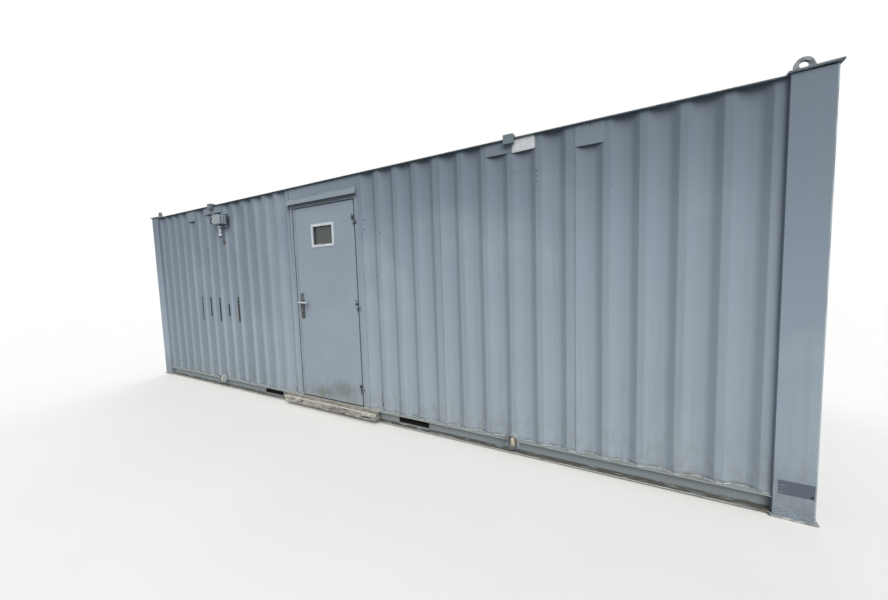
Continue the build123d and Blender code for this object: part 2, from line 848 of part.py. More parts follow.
def build_wall_fittings():
    """Cover plates, rainwater boxes, the drains at the rail below them, and the sign plate."""
    left_covers = cover_plates(panel_left + weld_margin, -1, left_run)
    right_covers = cover_plates(panel_right - weld_margin, 1, right_run)
    pieces["cover_plates"] = group(front, left_covers + right_covers)

    boxes = []
    box_top = post_top + rain_box_above
    box_foot = box_top - rain_box_height
    for centre in rain_places:
        wide = (centre - rain_box_width / 2, centre + rain_box_width / 2)
        box_front = cover_face - rain_box_depth
        body = block(wide, (box_front, edge_bar_setback), (box_foot, box_top))
        body += block(wide, (box_front, cover_face), (box_foot, bar_bottom))
        body += block(wide, (box_front, edge_bar_setback + rain_box_depth), (post_top, box_top))
        boxes.append(body)
    pieces["rain_boxes"] = group(front, boxes)
    pieces["drain_elbows"] = group(front, [Pos(centre, 0, 0) * drain_elbow() for centre in rain_places])
    pieces["drain_hoods"] = group(front, [Pos(centre, 0, 0) * drain_hood() for centre in rain_places])

    sign_left = rain_places[1] + rain_box_width / 2 + sign_gap
    sign = block(
        (sign_left, sign_left + sign_width),
        (cover_face - sign_t, cover_face),
        (bar_bottom - sign_height, bar_bottom),
    )
    pieces["sign_plate"] = front * sign


def build_power_inlet():
    """A ribbed housing on a base plate, a gland that points down and a round lid beside it."""
    plate_face = crest_setback - inlet_plate_t
    half = inlet_width / 2 + inlet_plate_margin
    cap_x = -(inlet_width / 2 + inlet_cap_gap + inlet_cap_radius)
    tall = inlet_box_height / 2 + inlet_plate_margin
    plate_left = cap_x - inlet_cap_radius
    plate = block((plate_left, half), (plate_face, crest_setback), (-tall, tall))
    body = block(
        (-inlet_width / 2, inlet_width / 2),
        (plate_face - inlet_depth, plate_face),
        (-inlet_box_height / 2, inlet_box_height / 2),
    )
    body = chamfer(body.edges().filter_by(Axis.Y), inlet_wall_bevel)
    body = chamfer(body.faces().sort_by(Axis.Y)[0].edges(), inlet_rib_t)
    housing = plate + body
    middle = plate_face - inlet_depth / 2
    for k in range(inlet_ribs):
        x = (k - (inlet_ribs - 1) / 2) * inlet_width / (inlet_ribs + 1)
        housing += block(
            (x - inlet_rib_t, x + inlet_rib_t),
            (plate_face - inlet_depth - inlet_rib_t, plate_face),
            (-inlet_box_height / 2 + inlet_wall_bevel, inlet_box_height / 2 + inlet_rib_t),
        )
    foot = -inlet_box_height / 2
    waist = foot - inlet_gland_radius
    tip = foot - inlet_gland_length
    outline = Polyline(
        (0, foot),
        (inlet_gland_radius, foot),
        (inlet_gland_radius, foot - inlet_gland_radius / 3),
        (inlet_gland_tip + inlet_rib_t, waist),
        (inlet_gland_tip, waist - inlet_rib_t),
        (inlet_gland_tip, tip),
        (0, tip),
        close=True,
    )
    gland = revolve(Plane.XZ * make_face(outline), Axis.Z)
    gland -= Pos(0, 0, tip) * Cylinder(inlet_gland_tip / 2, inlet_gland_length / 2)
    housing += Pos(0, middle, 0) * gland
    place = front * Pos(inlet_x, 0, post_top - inlet_below_top)
    pieces["power_inlet"] = place * housing

    neck = Cylinder(inlet_cap_radius - inlet_cap_rim, inlet_cap_reach)
    neck = Pos(0, plate_face - inlet_cap_reach / 2, 0) * Rot(90, 0, 0) * neck
    lid = Cylinder(inlet_cap_radius, 2 * inlet_cap_rim)
    lid = Pos(0, plate_face - inlet_cap_reach, 0) * Rot(90, 0, 0) * lid
    pieces["power_inlet_lid"] = place * Pos(cap_x, 0, 0) * (neck + lid)


build_corners()
build_base()
build_walls()
build_door_panel()
build_linings()
build_roof()
build_frame()
build_canopy()
build_step()
build_leaf()
build_lock()
build_hinges()
build_wall_fittings()
build_power_inlet()

os.makedirs("parts", exist_ok=True)
for name, piece in pieces.items():
    export_step(piece, f"parts/{name}.step")
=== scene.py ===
import math

import bmesh
import bpy
from mathutils import Matrix, Vector, noise


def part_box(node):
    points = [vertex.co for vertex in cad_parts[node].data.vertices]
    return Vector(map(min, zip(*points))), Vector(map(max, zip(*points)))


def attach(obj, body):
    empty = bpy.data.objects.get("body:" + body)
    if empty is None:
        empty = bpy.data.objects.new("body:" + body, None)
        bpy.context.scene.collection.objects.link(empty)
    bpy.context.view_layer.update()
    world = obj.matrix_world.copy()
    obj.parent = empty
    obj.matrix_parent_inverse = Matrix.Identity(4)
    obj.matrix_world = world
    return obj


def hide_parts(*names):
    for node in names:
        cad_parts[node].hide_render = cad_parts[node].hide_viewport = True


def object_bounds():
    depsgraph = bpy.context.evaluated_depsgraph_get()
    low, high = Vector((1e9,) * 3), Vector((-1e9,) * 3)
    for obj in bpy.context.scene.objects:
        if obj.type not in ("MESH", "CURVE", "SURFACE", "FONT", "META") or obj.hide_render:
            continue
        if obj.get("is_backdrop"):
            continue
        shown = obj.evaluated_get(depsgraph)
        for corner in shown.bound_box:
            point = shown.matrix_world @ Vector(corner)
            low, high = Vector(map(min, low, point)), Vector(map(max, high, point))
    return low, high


# The looks of a portable site cabin of welded, sprayed steel, built around its CAD frame.
# The sections follow the cabin as it is put together, after the camera, the daylight and the floor.

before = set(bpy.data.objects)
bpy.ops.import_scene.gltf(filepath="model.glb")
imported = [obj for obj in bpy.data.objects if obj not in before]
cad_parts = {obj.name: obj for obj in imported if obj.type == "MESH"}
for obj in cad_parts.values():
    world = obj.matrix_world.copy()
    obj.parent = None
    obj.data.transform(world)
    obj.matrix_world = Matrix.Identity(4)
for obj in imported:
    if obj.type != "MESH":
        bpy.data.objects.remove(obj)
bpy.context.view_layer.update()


# Camera
# The cabin is seen from eye height in front of its right half, through a wide lens.

picture_width = 888
picture_height = 600
focal_pixels = 345.9
sensor_width = 36.0
camera_place = Vector((2.8054, -3.8449, 1.4312))
camera_yaw, camera_pitch, camera_roll = (math.radians(a) for a in (29.359, -4.475, 1.842))

camera_data = bpy.data.cameras.new("camera")
camera_data.sensor_width = sensor_width
camera_data.lens = focal_pixels * sensor_width / picture_width
camera_data.clip_end = 200.0
camera = bpy.data.objects.new("camera", camera_data)
camera.matrix_world = (
    Matrix.Translation(camera_place)
    @ Matrix.Rotation(camera_yaw, 4, "Z")
    @ Matrix.Rotation(camera_pitch, 4, "X")
    @ Matrix.Rotation(camera_roll, 4, "Y")
    @ Matrix.Rotation(math.radians(90), 4, "X")
)
bpy.context.scene.collection.objects.link(camera)
scene = bpy.context.scene
scene.camera = camera
scene.render.resolution_x = picture_width
scene.render.resolution_y = picture_height
scene.view_settings.view_transform = "Standard"


# Daylight and floor
# Broad daylight from the right of the door side, a weak light from behind on the left, and an even sky.
# The floor is plain pale concrete that keeps the cabin's shadow and fades to white far off.

front_light_from = Vector((0.42, -0.64, 0.64))
front_light_power = 2.95
front_light_angle = math.radians(50)
back_light_from = Vector((-0.45, 0.80, 0.50))
back_light_power = 1.3
back_light_angle = math.radians(80)
sky_strength = 0.50
floor_radius = 60.0
floor_fade_start, floor_fade_end = 7.0, 26.0
# the floor lies a hair under the base plates, so that the two faces don't mix
floor_drop = 0.001
cloud_size = 1.4


def linear(code):
    """An sRGB hex colour as the linear values that the shaders take, opaque."""
    parts = [int(code[i : i + 2], 16) / 255 for i in (1, 3, 5)]
    return [p / 12.92 if p <= 0.04045 else ((p + 0.055) / 1.055) ** 2.4 for p in parts] + [1.0]


def add_node(tree, kind, sockets=None, **settings):
    """A shader node with its settings; each socket is linked to an output or given a value."""
    node = tree.nodes.new("ShaderNode" + kind)
    for key, value in settings.items():
        setattr(node, key, value)
    for key, value in (sockets or {}).items():
        if isinstance(value, bpy.types.NodeSocket):
            tree.links.new(value, node.inputs[key])
        else:
            node.inputs[key].default_value = value
    return node


def seen_ray(tree):
    """White for the rays that show the background: the camera's, and those in metal and in glass."""
    path = add_node(tree, "LightPath")
    shown = path.outputs["Is Camera Ray"]
    for other in ("Is Glossy Ray", "Is Transmission Ray"):
        shown = add_node(tree, "Math", {0: shown, 1: path.outputs[other]}, operation="MAXIMUM").outputs[0]
    return shown


def daylight(name, comes_from, power, angle, colour):
    """A distant light with a soft edge."""
    data = bpy.data.lights.new(name, "SUN")
    data.energy = power
    data.angle = angle
    data.color = linear(colour)[:3]
    lamp = bpy.data.objects.new(name, data)
    lamp.rotation_euler = comes_from.to_track_quat("Z", "Y").to_euler()
    scene.collection.objects.link(lamp)


daylight("front_light", front_light_from, front_light_power, front_light_angle, "#FFFDF8")
daylight("back_light", back_light_from, back_light_power, back_light_angle, "#F4F7FB")

sky = bpy.data.worlds.new("sky")
sky.use_nodes = True
scene.world = sky
tree = sky.node_tree
tree.nodes.clear()
lighting = add_node(tree, "Background", {0: linear("#E6EBF2"), 1: sky_strength})
backdrop = add_node(tree, "Background", {0: linear("#FFFFFF"), 1: 1.0})
both = add_node(tree, "MixShader", {0: seen_ray(tree), 1: lighting.outputs[0], 2: backdrop.outputs[0]})
add_node(tree, "OutputWorld", {0: both.outputs[0]})

shape = bmesh.new()
bmesh.ops.create_circle(shape, cap_ends=True, segments=96, radius=floor_radius)
bmesh.ops.translate(shape, verts=shape.verts, vec=(0, 0, -floor_drop))
floor_mesh = bpy.data.meshes.new("floor")
shape.to_mesh(floor_mesh)
shape.free()
floor = bpy.data.objects.new("floor", floor_mesh)
scene.collection.objects.link(floor)

# Brushed pale concrete as the camera sees it; the other rays meet a darker grey, so that no glare
# comes up from below
concrete = bpy.data.materials.new("pale_concrete")
concrete.use_nodes = True
tree = concrete.node_tree
tree.nodes.clear()
place = add_node(tree, "TexCoord").outputs["Object"]
far = add_node(tree, "VectorMath", {0: place}, operation="LENGTH").outputs[1]
fade = add_node(
    tree, "MapRange", {0: far, 1: floor_fade_start, 2: floor_fade_end}, interpolation_type="SMOOTHSTEP"
).outputs[0]
mottle = add_node(tree, "TexNoise", {"Vector": place, "Scale": 1 / cloud_size, "Detail": 4.0}).outputs[0]
tone = add_node(tree, "Mix", {0: mottle, 6: linear("#E9E8E5"), 7: linear("#F0EFED")}, data_type="RGBA")
near_floor = add_node(tree, "BsdfDiffuse", {0: tone.outputs[2]})
far_floor = add_node(tree, "Emission", {0: linear("#FFFFFF"), 1: 1.0})
shown_floor = add_node(tree, "MixShader", {0: fade, 1: near_floor.outputs[0], 2: far_floor.outputs[0]})
lit_floor = add_node(tree, "BsdfDiffuse", {0: linear("#95948F")})
whole = add_node(tree, "MixShader", {0: seen_ray(tree), 1: lit_floor.outputs[0], 2: shown_floor.outputs[0]})
add_node(tree, "OutputMaterial", {0: whole.outputs[0]})
floor_mesh.materials.append(concrete)
floor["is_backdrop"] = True


# Corrugated sheets of the door side
# Folded steel sheet, welded to the frame and sprayed with a satin enamel that weather has dulled.
# Every fifth rib has a wider crest, where one sheet laps over the next and is welded down its edge.

rib_pitch = 0.207
trough_width = 0.163
joint_extra = 0.026
joints_after = (4, 9)
seam_margin = 0.008
# each fold is rolled: tight at the crest, wider in the valley and widest where the valley starts
fold_angles = (15.0, 60.0)
crest_fold_width = 0.005
fold_width = 0.016
soft_fold_width = 0.034
crest_reach = 0.004
valley_depth = 0.020
# thin sheet waves by about a millimetre between its welded edges
wave_height = 0.0012
wave_levels = 9
wave_still_edge = 0.25
waves_across, waves_up, wave_start = 1.7, 0.9, 3.1
panel_left_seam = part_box("front_sheet_left")[1][0]
(panel_right_seam, front_crest, sheet_foot), (_, _, sheet_top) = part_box("front_sheet_right")


class Finish:
    """A finish: its material, its nodes, its surface shader and the object's own coordinates."""

    def __init__(self, name, colour, roughness, metallic=0.0, gloss=None):
        self.material = bpy.data.materials.new(name)
        self.material.use_nodes = True
        self.tree = self.material.node_tree
        self.shader = self.tree.nodes["Principled BSDF"]
        self.shader.inputs["Base Color"].default_value = linear(colour)
        self.shader.inputs["Roughness"].default_value = roughness
        self.shader.inputs["Metallic"].default_value = metallic
        if gloss is not None:
            self.shader.inputs["Specular IOR Level"].default_value = gloss
        self.place = add_node(self.tree, "TexCoord").outputs["Object"]

    def coat(self, masks, amount, colour=None, roughness=None, metallic=None):
        """Lays another colour and sheen over what the shader has now, where every mask is white."""
        share = amount
        for mask in masks:
            share = add_node(self.tree, "Math", {0: mask, 1: share}, operation="MULTIPLY").outputs[0]
        wanted = {"Base Color": colour and linear(colour), "Roughness": roughness, "Metallic": metallic}
        for socket, value in wanted.items():
            if value is None:
                continue
            slot_in = self.shader.inputs[socket]
            under = slot_in.links[0].from_socket if slot_in.is_linked else slot_in.default_value
            if socket == "Base Color":
                if not slot_in.is_linked:
                    under = tuple(under)
                mix = add_node(self.tree, "Mix", {0: share, 6: under, 7: value}, data_type="RGBA")
                self.tree.links.new(mix.outputs[2], slot_in)
            else:
                mix = add_node(self.tree, "Mix", {0: share, 2: under, 3: value})
                self.tree.links.new(mix.outputs[0], slot_in)

    def patches(self, size, start, end, stretch=(1, 1, 1), detail=3.0, shift=0.0):
        """A mask of soft-edged patches about as large as the size in metres, drawn out along an axis."""
        sockets = {0: self.place, 1: (shift, shift, shift), 3: tuple(1 / s for s in stretch)}
        scaled = add_node(self.tree, "Mapping", sockets).outputs[0]
        sockets = {"Vector": scaled, "Scale": 1 / size, "Detail": detail}
        cloud = add_node(self.tree, "TexNoise", sockets).outputs[0]
        sockets = {0: cloud, 1: start, 2: end}
        return add_node(self.tree, "MapRange", sockets, interpolation_type="SMOOTHSTEP").outputs[0]

    def level(self, axis, start, end, place=None):
        """A mask that turns from black at the start to white at the end along one axis."""
        along = add_node(self.tree, "SeparateXYZ", {0: place or self.place}).outputs[axis]
        sockets = {0: along, 1: start, 2: end}
        return add_node(self.tree, "MapRange", sockets, interpolation_type="SMOOTHSTEP").outputs[0]

    def spots(self, marks, soft=0.45, square=False, ragged=0.006):
        """A mask of single marks on an upright face, each (x, z, half width, half height)."""
        tree = self.tree
        # the outlines fray every 20 mm or so, by up to the ragged length
        frays_per_metre = 45.0
        sockets = {"Vector": self.place, "Scale": frays_per_metre, "Detail": 3.0}
        rough = add_node(tree, "TexNoise", sockets).outputs["Color"]
        sockets = {0: rough, 1: (0.5, 0.5, 0.5)}
        centred = add_node(tree, "VectorMath", sockets, operation="SUBTRACT").outputs[0]
        push = add_node(tree, "VectorMath", {0: centred, 3: ragged * 2}, operation="SCALE").outputs[0]
        bent = add_node(tree, "VectorMath", {0: self.place, 1: push}, operation="ADD").outputs[0]
        any_depth = 1000
        mask = 0.0
        for x, z, half_width, half_height in marks:
            sockets = {0: bent, 1: (x, 0, z), 3: (half_width, any_depth, half_height)}
            local = add_node(tree, "Mapping", sockets, vector_type="TEXTURE").outputs[0]
            if square:
                local = add_node(tree, "VectorMath", {0: local}, operation="ABSOLUTE").outputs[0]
                x_out, _, z_out = add_node(tree, "SeparateXYZ", {0: local}).outputs
                reach = add_node(tree, "Math", {0: x_out, 1: z_out}, operation="MAXIMUM").outputs[0]
            else:
                reach = add_node(tree, "VectorMath", {0: local}, operation="LENGTH").outputs[1]
            sockets = {0: reach, 1: 1.0, 2: 1.0 - soft}
            one = add_node(tree, "MapRange", sockets, interpolation_type="SMOOTHSTEP").outputs[0]
            mask = add_node(tree, "Math", {0: mask, 1: one}, operation="MAXIMUM").outputs[0]
        return mask

    def emboss(self, *layers):
        """Height under the finish: each layer has its size and height in metres, and may have a stretch."""
        normal = None
        for size, height, *stretch in layers:
            scale = tuple(1 / s for s in stretch[0]) if stretch else (1, 1, 1)
            scaled = add_node(self.tree, "Mapping", {0: self.place, 3: scale}).outputs[0]
            cloud = add_node(self.tree, "TexNoise", {"Vector": scaled, "Scale": 1 / size, "Detail": 2.0})
            sockets = {"Strength": 1.0, "Distance": height, "Height": cloud.outputs[0]}
            if normal is not None:
                sockets["Normal"] = normal
            normal = add_node(self.tree, "Bump", sockets).outputs[0]
        self.tree.links.new(normal, self.shader.inputs["Normal"])


def sprayed_enamel(name, colour, shaded_top_colour, streaks=0.30, dust=0.55):
    """Satin enamel on steel outdoors: painted darker towards the roof as shade, streaked by rain and dusty
    at the foot.
    """
    # chalked enamel keeps little of its gloss
    paint = Finish(name, colour, 0.55, gloss=0.12)
    # painted shade: the colour turns darker towards the roof, up to the shaded top colour
    paint.coat([paint.level("Z", 0.20, 2.90)], 1.0, shaded_top_colour)
    # chalking in broad clouds of 0.6 m and more
    paint.coat([paint.patches(0.6, 0.48, 0.75)], 0.22, "#B3BCBE", 0.55)
    paint.coat([paint.patches(0.9, 0.50, 0.80, shift=7.0)], 0.16, "#7B8791")
    # rain streaks 30 mm and 9 mm wide, drawn far down the sheet, greenish grey
    runs = paint.patches(0.030, 0.52, 0.80, stretch=(1, 1, 34), shift=3.0)
    paint.coat([runs], streaks, "#838E8C", 0.55)
    thin_runs = paint.patches(0.009, 0.60, 0.82, stretch=(1, 1, 60), shift=11.0)
    paint.coat([thin_runs], streaks * 0.7, "#6F7B80")
    # dust and splashes over the lowest 0.4 m
    splash = paint.patches(0.05, 0.38, 0.66, stretch=(1, 1, 1.6), shift=5.0)
    paint.coat([paint.level("Z", 0.50, 0.12), splash], dust, "#8B8D88", 0.75)
    # small chips down to the primer
    paint.coat([paint.patches(0.011, 0.745, 0.775, detail=1.0, shift=2.0)], 0.55, "#5C6870", 0.6)
    # sheet that ripples by a millimetre over 0.2 m, and orange peel drawn at 5 mm so that it shows
    paint.emboss((0.22, 0.0012), (0.005, 0.00012))
    return paint


def clean_copy(*nodes):
    """The CAD nodes' own shape as a closed mesh whose flat faces are whole again."""
    shape = bmesh.new()
    for node in nodes:
        shape.from_mesh(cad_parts[node].data)
    bmesh.ops.remove_doubles(shape, verts=shape.verts, dist=0.00002)
    bmesh.ops.dissolve_limit(
        shape, angle_limit=math.radians(0.6), verts=shape.verts, edges=shape.edges, delimit=set()
    )
    return shape


def edges_at(shape, sharper_than, softer_than=180.0, along=None):
    """The edges that fold by an angle between the two given, all of them or those along one axis."""
    chosen = []
    for edge in shape.edges:
        run = (edge.verts[1].co - edge.verts[0].co).normalized()
        if not edge.is_manifold or (along is not None and abs(run[along]) < 0.99):
            continue
        if sharper_than < math.degrees(edge.calc_face_angle(0.0)) < softer_than:
            chosen.append(edge)
    return chosen


def bevel(shape, edges, width, segments, clamp=True):
    """Rounds the given edges by a width, held back where they would meet if clamp is on."""
    bmesh.ops.bevel(
        shape,
        geom=edges,
        offset=width,
        offset_type="OFFSET",
        segments=segments,
        profile=0.5,
        affect="EDGES",
        clamp_overlap=clamp,
        material=-1,
    )


def round_edges(shape, width, segments=2, sharper_than=35.0):
    """Rounds every edge that is sharper than the angle."""
    bevel(shape, edges_at(shape, sharper_than), width, segments)


def make_piece(shape, name, body, finish, slot, *stands_for, sharp=38.0):
    """The finished mesh as a piece that rides on a body and may stand for CAD nodes."""
    bmesh.ops.recalc_face_normals(shape, faces=shape.faces)
    mesh = bpy.data.meshes.new(name)
    shape.to_mesh(mesh)
    shape.free()
    mesh.materials.append(finish.material)
    mesh.shade_smooth()
    mesh.set_sharp_from_angle(angle=math.radians(sharp))
    piece = bpy.data.objects.new(name, mesh)
    scene.collection.objects.link(piece)
    even = piece.modifiers.new("even_shading", "WEIGHTED_NORMAL")
    even.keep_sharp = True
    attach(piece, body)
    if stands_for:
        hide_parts(*stands_for)


def roll_soft_folds(shape, across, crest):
    """Rolls the fold at the start of each valley in a wide curve, as the rolling mill leaves it."""
    chosen = []
    for edge in edges_at(shape, *fold_angles):
        if abs(edge.verts[0].co[across] - crest) < valley_depth:
            continue
        # a slope comes before the flat of the valley
        slope, flat = sorted(edge.link_faces, key=lambda face: face.calc_center_median()[1 - across])
        if abs(slope.normal[across]) < 0.95 < abs(flat.normal[across]):
            chosen.append(edge)
    bevel(shape, chosen, soft_fold_width, 6)


def folded_sheet(node, across):
    """A sheet with rolled folds, cut across at levels and waved a little as thin sheet is."""
    shape = clean_copy(node)
    low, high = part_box(node)
    crest = max(low[across], high[across], key=abs)
    roll_soft_folds(shape, across, crest)
    folds = edges_at(shape, *fold_angles, along=2)
    at_crest = [edge for edge in folds if abs(edge.verts[0].co[across] - crest) < crest_reach]
    bevel(shape, at_crest, crest_fold_width, 3, clamp=False)
    bevel(shape, edges_at(shape, *fold_angles, along=2), fold_width, 4, clamp=False)
    for k in range(1, wave_levels):
        cut = Vector((0, 0, low[2] + (high[2] - low[2]) * k / wave_levels))
        parts = [*shape.verts, *shape.edges, *shape.faces]
        bmesh.ops.bisect_plane(shape, geom=parts, plane_co=cut, plane_no=(0, 0, 1))
    for vert in shape.verts:
        # beside the drain's opening a rounding would run out past the sheet's foot
        vert.co.z = min(max(vert.co.z, low[2]), high[2])
        x, y, z = vert.co
        held = min(1.0, (z - low[2]) / wave_still_edge, (high[2] - z) / wave_still_edge)
        sway = noise.noise(Vector((x * waves_across, y * waves_across, z * waves_up + wave_start)))
        vert.co[across] += sway * wave_height * held
    return shape


# Satin spray enamel over primed steel; it gives a soft sheen and shows every rain mark
wall_paint = sprayed_enamel("sprayed_wall_enamel", "#98A4B0", "#7A8695", dust=0.42)

# the paint is a little darker towards the left end: painted shade
shaded_left_end = wall_paint.level("X", -1.8, -3.3)
wall_paint.coat([shaded_left_end], 0.30, "#6F7B86")
# left of the door panel the flats, the crests most, are painted darker than the slopes: painted shade
on_crest = wall_paint.level("Y", front_crest + 0.009, front_crest + 0.001)
in_valley = wall_paint.level("Y", front_crest + 0.017, front_crest + 0.0245)
shaded_flats = add_node(wall_paint.tree, "Math", {0: on_crest, 1: in_valley}, operation="MAXIMUM").outputs[0]
left_of_panel = wall_paint.level("X", panel_left_seam + 0.01, panel_left_seam - 0.80)
wall_paint.coat([shaded_flats, left_of_panel], 0.30, "#525C65")
wall_paint.coat([on_crest, left_of_panel], 0.12, "#4E5963")
# grime round the five cut-off brackets; each mark is x, z, half width, half height
scar_marks = (
    (-2.456, 1.046, 0.012, 0.155),
    (-2.243, 1.075, 0.020, 0.132),
    (-2.024, 1.044, 0.019, 0.155),
    (-1.817, 1.038, 0.021, 0.080),
    (-1.602, 1.050, 0.021, 0.158),
)
scars = wall_paint.spots(scar_marks, soft=0.3, square=True, ragged=0.008)
wall_paint.coat([scars, on_crest], 0.90, "#2F3234", 0.8)
# the upper right part is painted darker: painted shade towards the roof
wall_paint.coat([wall_paint.level("Z", 1.50, 2.50), wall_paint.level("X", -0.9, 1.5)], 0.55, "#5A6571")

# rust under the power inlet and where water stands at the foot beside the door
rust_marks = (
    (-1.819, 1.912, 0.046, 0.044),
    (0.647, 0.250, 0.006, 0.100),
    (0.655, 0.175, 0.020, 0.030),
    (-0.610, 0.160, 0.020, 0.030),
)
# screw holes and chips down to dark steel
dark_marks = (
    (-1.826, 1.895, 0.026, 0.020),
    (-2.211, 1.659, 0.011, 0.011),
    (-2.212, 1.705, 0.010, 0.011),
    (-2.210, 1.752, 0.010, 0.011),
    (-2.211, 1.803, 0.010, 0.011),
    (-2.209, 1.850, 0.010, 0.012),
    (-1.830, 1.658, 0.008, 0.008),
    (0.535, 1.956, 0.009, 0.011),
    (0.529, 1.864, 0.008, 0.009),
    (0.727, 1.819, 0.008, 0.010),
    (0.648, 1.422, 0.008, 0.009),
    (0.647, 2.214, 0.005, 0.008),
    (2.008, 2.151, 0.005, 0.007),
    (2.166, 2.135, 0.006, 0.010),
    (2.167, 2.095, 0.004, 0.007),
    (2.166, 2.062, 0.005, 0.006),
    (2.167, 2.022, 0.003, 0.005),
    (1.799, 2.027, 0.004, 0.005),
    (2.446, 1.996, 0.004, 0.005),
    (2.650, 1.965, 0.004, 0.005),
)
# runs of greenish dirt below the rainwater box, the cover plate and the panel's seam
stain_marks = ((1.973, 2.135, 0.016, 0.180), (2.430, 2.100, 0.010, 0.250), (0.560, 2.150, 0.010, 0.150))
wall_paint.coat([wall_paint.spots(stain_marks, soft=0.9)], 0.40, "#727F78", 0.6)
wall_paint.coat([wall_paint.spots(rust_marks)], 0.80, "#6B5443", 0.85)
wall_paint.coat([wall_paint.spots(dark_marks, ragged=0.003)], 0.85, "#37424C", 0.7)

# dirt that the rain leaves in the corner over the base rail
foot = wall_paint.level("Z", sheet_foot + 0.035, sheet_foot + 0.002)
dirt = wall_paint.patches(0.03, 0.35, 0.60, stretch=(2, 1, 1), shift=9.0)
wall_paint.coat([foot, dirt], 0.75, "#5F625B", 0.9)

for node in ("front_sheet_left", "front_sheet_right"):
    make_piece(folded_sheet(node, 1), node + "_skin", "cabin", wall_paint, "wall_paint", node)


def lap_crests(run):
    """Distances from the door panel's seam to both edges of the wide crests, where sheets lap."""
    found = []
    start = seam_margin
    count = 0
    while start + trough_width < run:
        count += 1
        if count in joints_after:
            crest_start = start + trough_width
            start += rib_pitch + joint_extra
            found.append((crest_start, start))
        else:
            start += rib_pitch
    return found


def weld_bead(shape, start, end, width, lap):
    """Adds a welded seam from start to end to the shape, with one ripple in each lap."""
    start, end = Vector(start), Vector(end)
    run = end - start
    unit = run.normalized()
    bead = bmesh.new()
    turn = run.to_track_quat("Z", "Y").to_matrix().to_4x4()
    middle = Matrix.Translation((start + end) / 2) @ turn
    bmesh.ops.create_cone(
        bead,
        cap_ends=True,
        segments=8,
        radius1=width / 2,
        radius2=width / 2,
        depth=run.length,
        matrix=middle,
    )
    sides = [e for e in bead.edges if abs((e.verts[1].co - e.verts[0].co).dot(unit)) > run.length / 2]
    bmesh.ops.subdivide_edges(bead, edges=sides, cuts=max(1, int(run.length / lap * 2)))
    for vert in bead.verts:
        along = (vert.co - start).dot(unit)
        core = start + unit * along
        # it swells and sinks by a fifth in each lap, never quite evenly, and runs out thin at its ends
        ripple = 0.80 + 0.20 * abs(math.sin(math.pi * along / lap + noise.noise(core * 31.0)))
        if along < lap / 4 or along > run.length - lap / 4:
            ripple *= 0.5
        vert.co = core + (vert.co - core) * ripple
    laid = bpy.data.meshes.new("bead")
    bead.to_mesh(laid)
    bead.free()
    shape.from_mesh(laid)
    bpy.data.meshes.remove(laid)


seam_width = 0.0055
seam_lap = 0.013
seam_y = front_crest - 0.0004
seam_end = 0.010
# the weld runs on the wide crest: before its far edge on the right, past its near edge on the left
seam_before_far, seam_after_near = 0.010, 0.052
seams = bmesh.new()
for edge_x, side, node in (
    (panel_left_seam, -1, "front_sheet_left"),
    (panel_right_seam, 1, "front_sheet_right"),
):
    low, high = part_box(node)
    places = [edge_x]
    for near, far in lap_crests(high[0] - low[0]):
        places.append(edge_x + side * (far - seam_before_far if side > 0 else near + seam_after_near))
    for x in places:
        foot, top = (x, seam_y, sheet_foot + seam_end), (x, seam_y, sheet_top - seam_end)
        weld_bead(seams, foot, top, seam_width, seam_lap)
# The same enamel, with the dirt that a seam holds
seam_paint = sprayed_enamel("sprayed_enamel_on_weld", "#929EA9", "#707C88", streaks=0.5, dust=0.7)
seam_paint.coat([seam_paint.patches(0.04, 0.40, 0.62, stretch=(1, 1, 4))], 0.35, "#5D676E", 0.7)
make_piece(seams, "front_sheet_seams", "cabin", seam_paint, "wall_paint", sharp=60.0)


# Sealed foot of the front sheets
# A run of sealant, brushed over the weld that holds the zigzag edge of each sheet on the base rail.

sealant_width = 0.0075
sealant_lap = 0.016
sealant_lift = Vector((0, -0.0015, 0.0030))
foot_seal = bmesh.new()
for node in ("front_sheet_left", "front_sheet_right"):
    skin = bpy.data.objects[node + "_skin"].data
    joints = {tuple(sorted(edge.vertices)): [] for edge in skin.edges}
    for face in skin.polygons:
        for key in face.edge_keys:
            joints[key].append(face.normal)
    for (first, second), normals in joints.items():
        start, end = skin.vertices[first].co, skin.vertices[second].co
        at_foot = max(start.z, end.z) < sheet_foot + 0.0005
        if at_foot and any(normal.y < -0.5 for normal in normals):
            weld_bead(foot_seal, start + sealant_lift, end + sealant_lift, sealant_width, sealant_lap)
# Cream polyurethane sealant, gone chalky, with grime in its hollows
sealant = Finish("cream_polyurethane_sealant", "#BDBEB9", 0.7)
sealant.coat([sealant.patches(0.035, 0.45, 0.62)], 0.7, "#7F8683", 0.8)
make_piece(foot_seal, "front_sheet_foot_seal", "cabin", sealant, "wall_paint", sharp=60.0)


# Remains of five brackets on the left of the door side
# Short runs of weld left on the crests where brackets were cut off, painted once and rusting since.

# x of each bracket, foot and top of its long weld, and the weld's width
bracket_remains = (
    (-2.456, 0.895, 1.198, 0.013),
    (-2.245, 0.950, 1.200, 0.024),
    (-2.024, 0.895, 1.194, 0.021),
    (-1.818, 0.963, 1.113, 0.021),
    (-1.602, 0.897, 1.204, 0.024),
)
long_lap = 0.016
cross_width, cross_lap = 0.014, 0.008
cross_left, cross_right = 0.010, 0.018
remains = bmesh.new()
for x, foot, top, width in bracket_remains:
    back = front_crest + width / 4
    weld_bead(remains, (x, back, foot), (x + 0.002, back, top), width, long_lap)
    # a short weld lies across each end, a little askew
    for left_z, right_z in ((foot + 0.004, foot), (top, top - 0.003)):
        left, right = (x - cross_left, front_crest, left_z), (x + cross_right, front_crest, right_z)
        weld_bead(remains, left, right, cross_width, cross_lap)
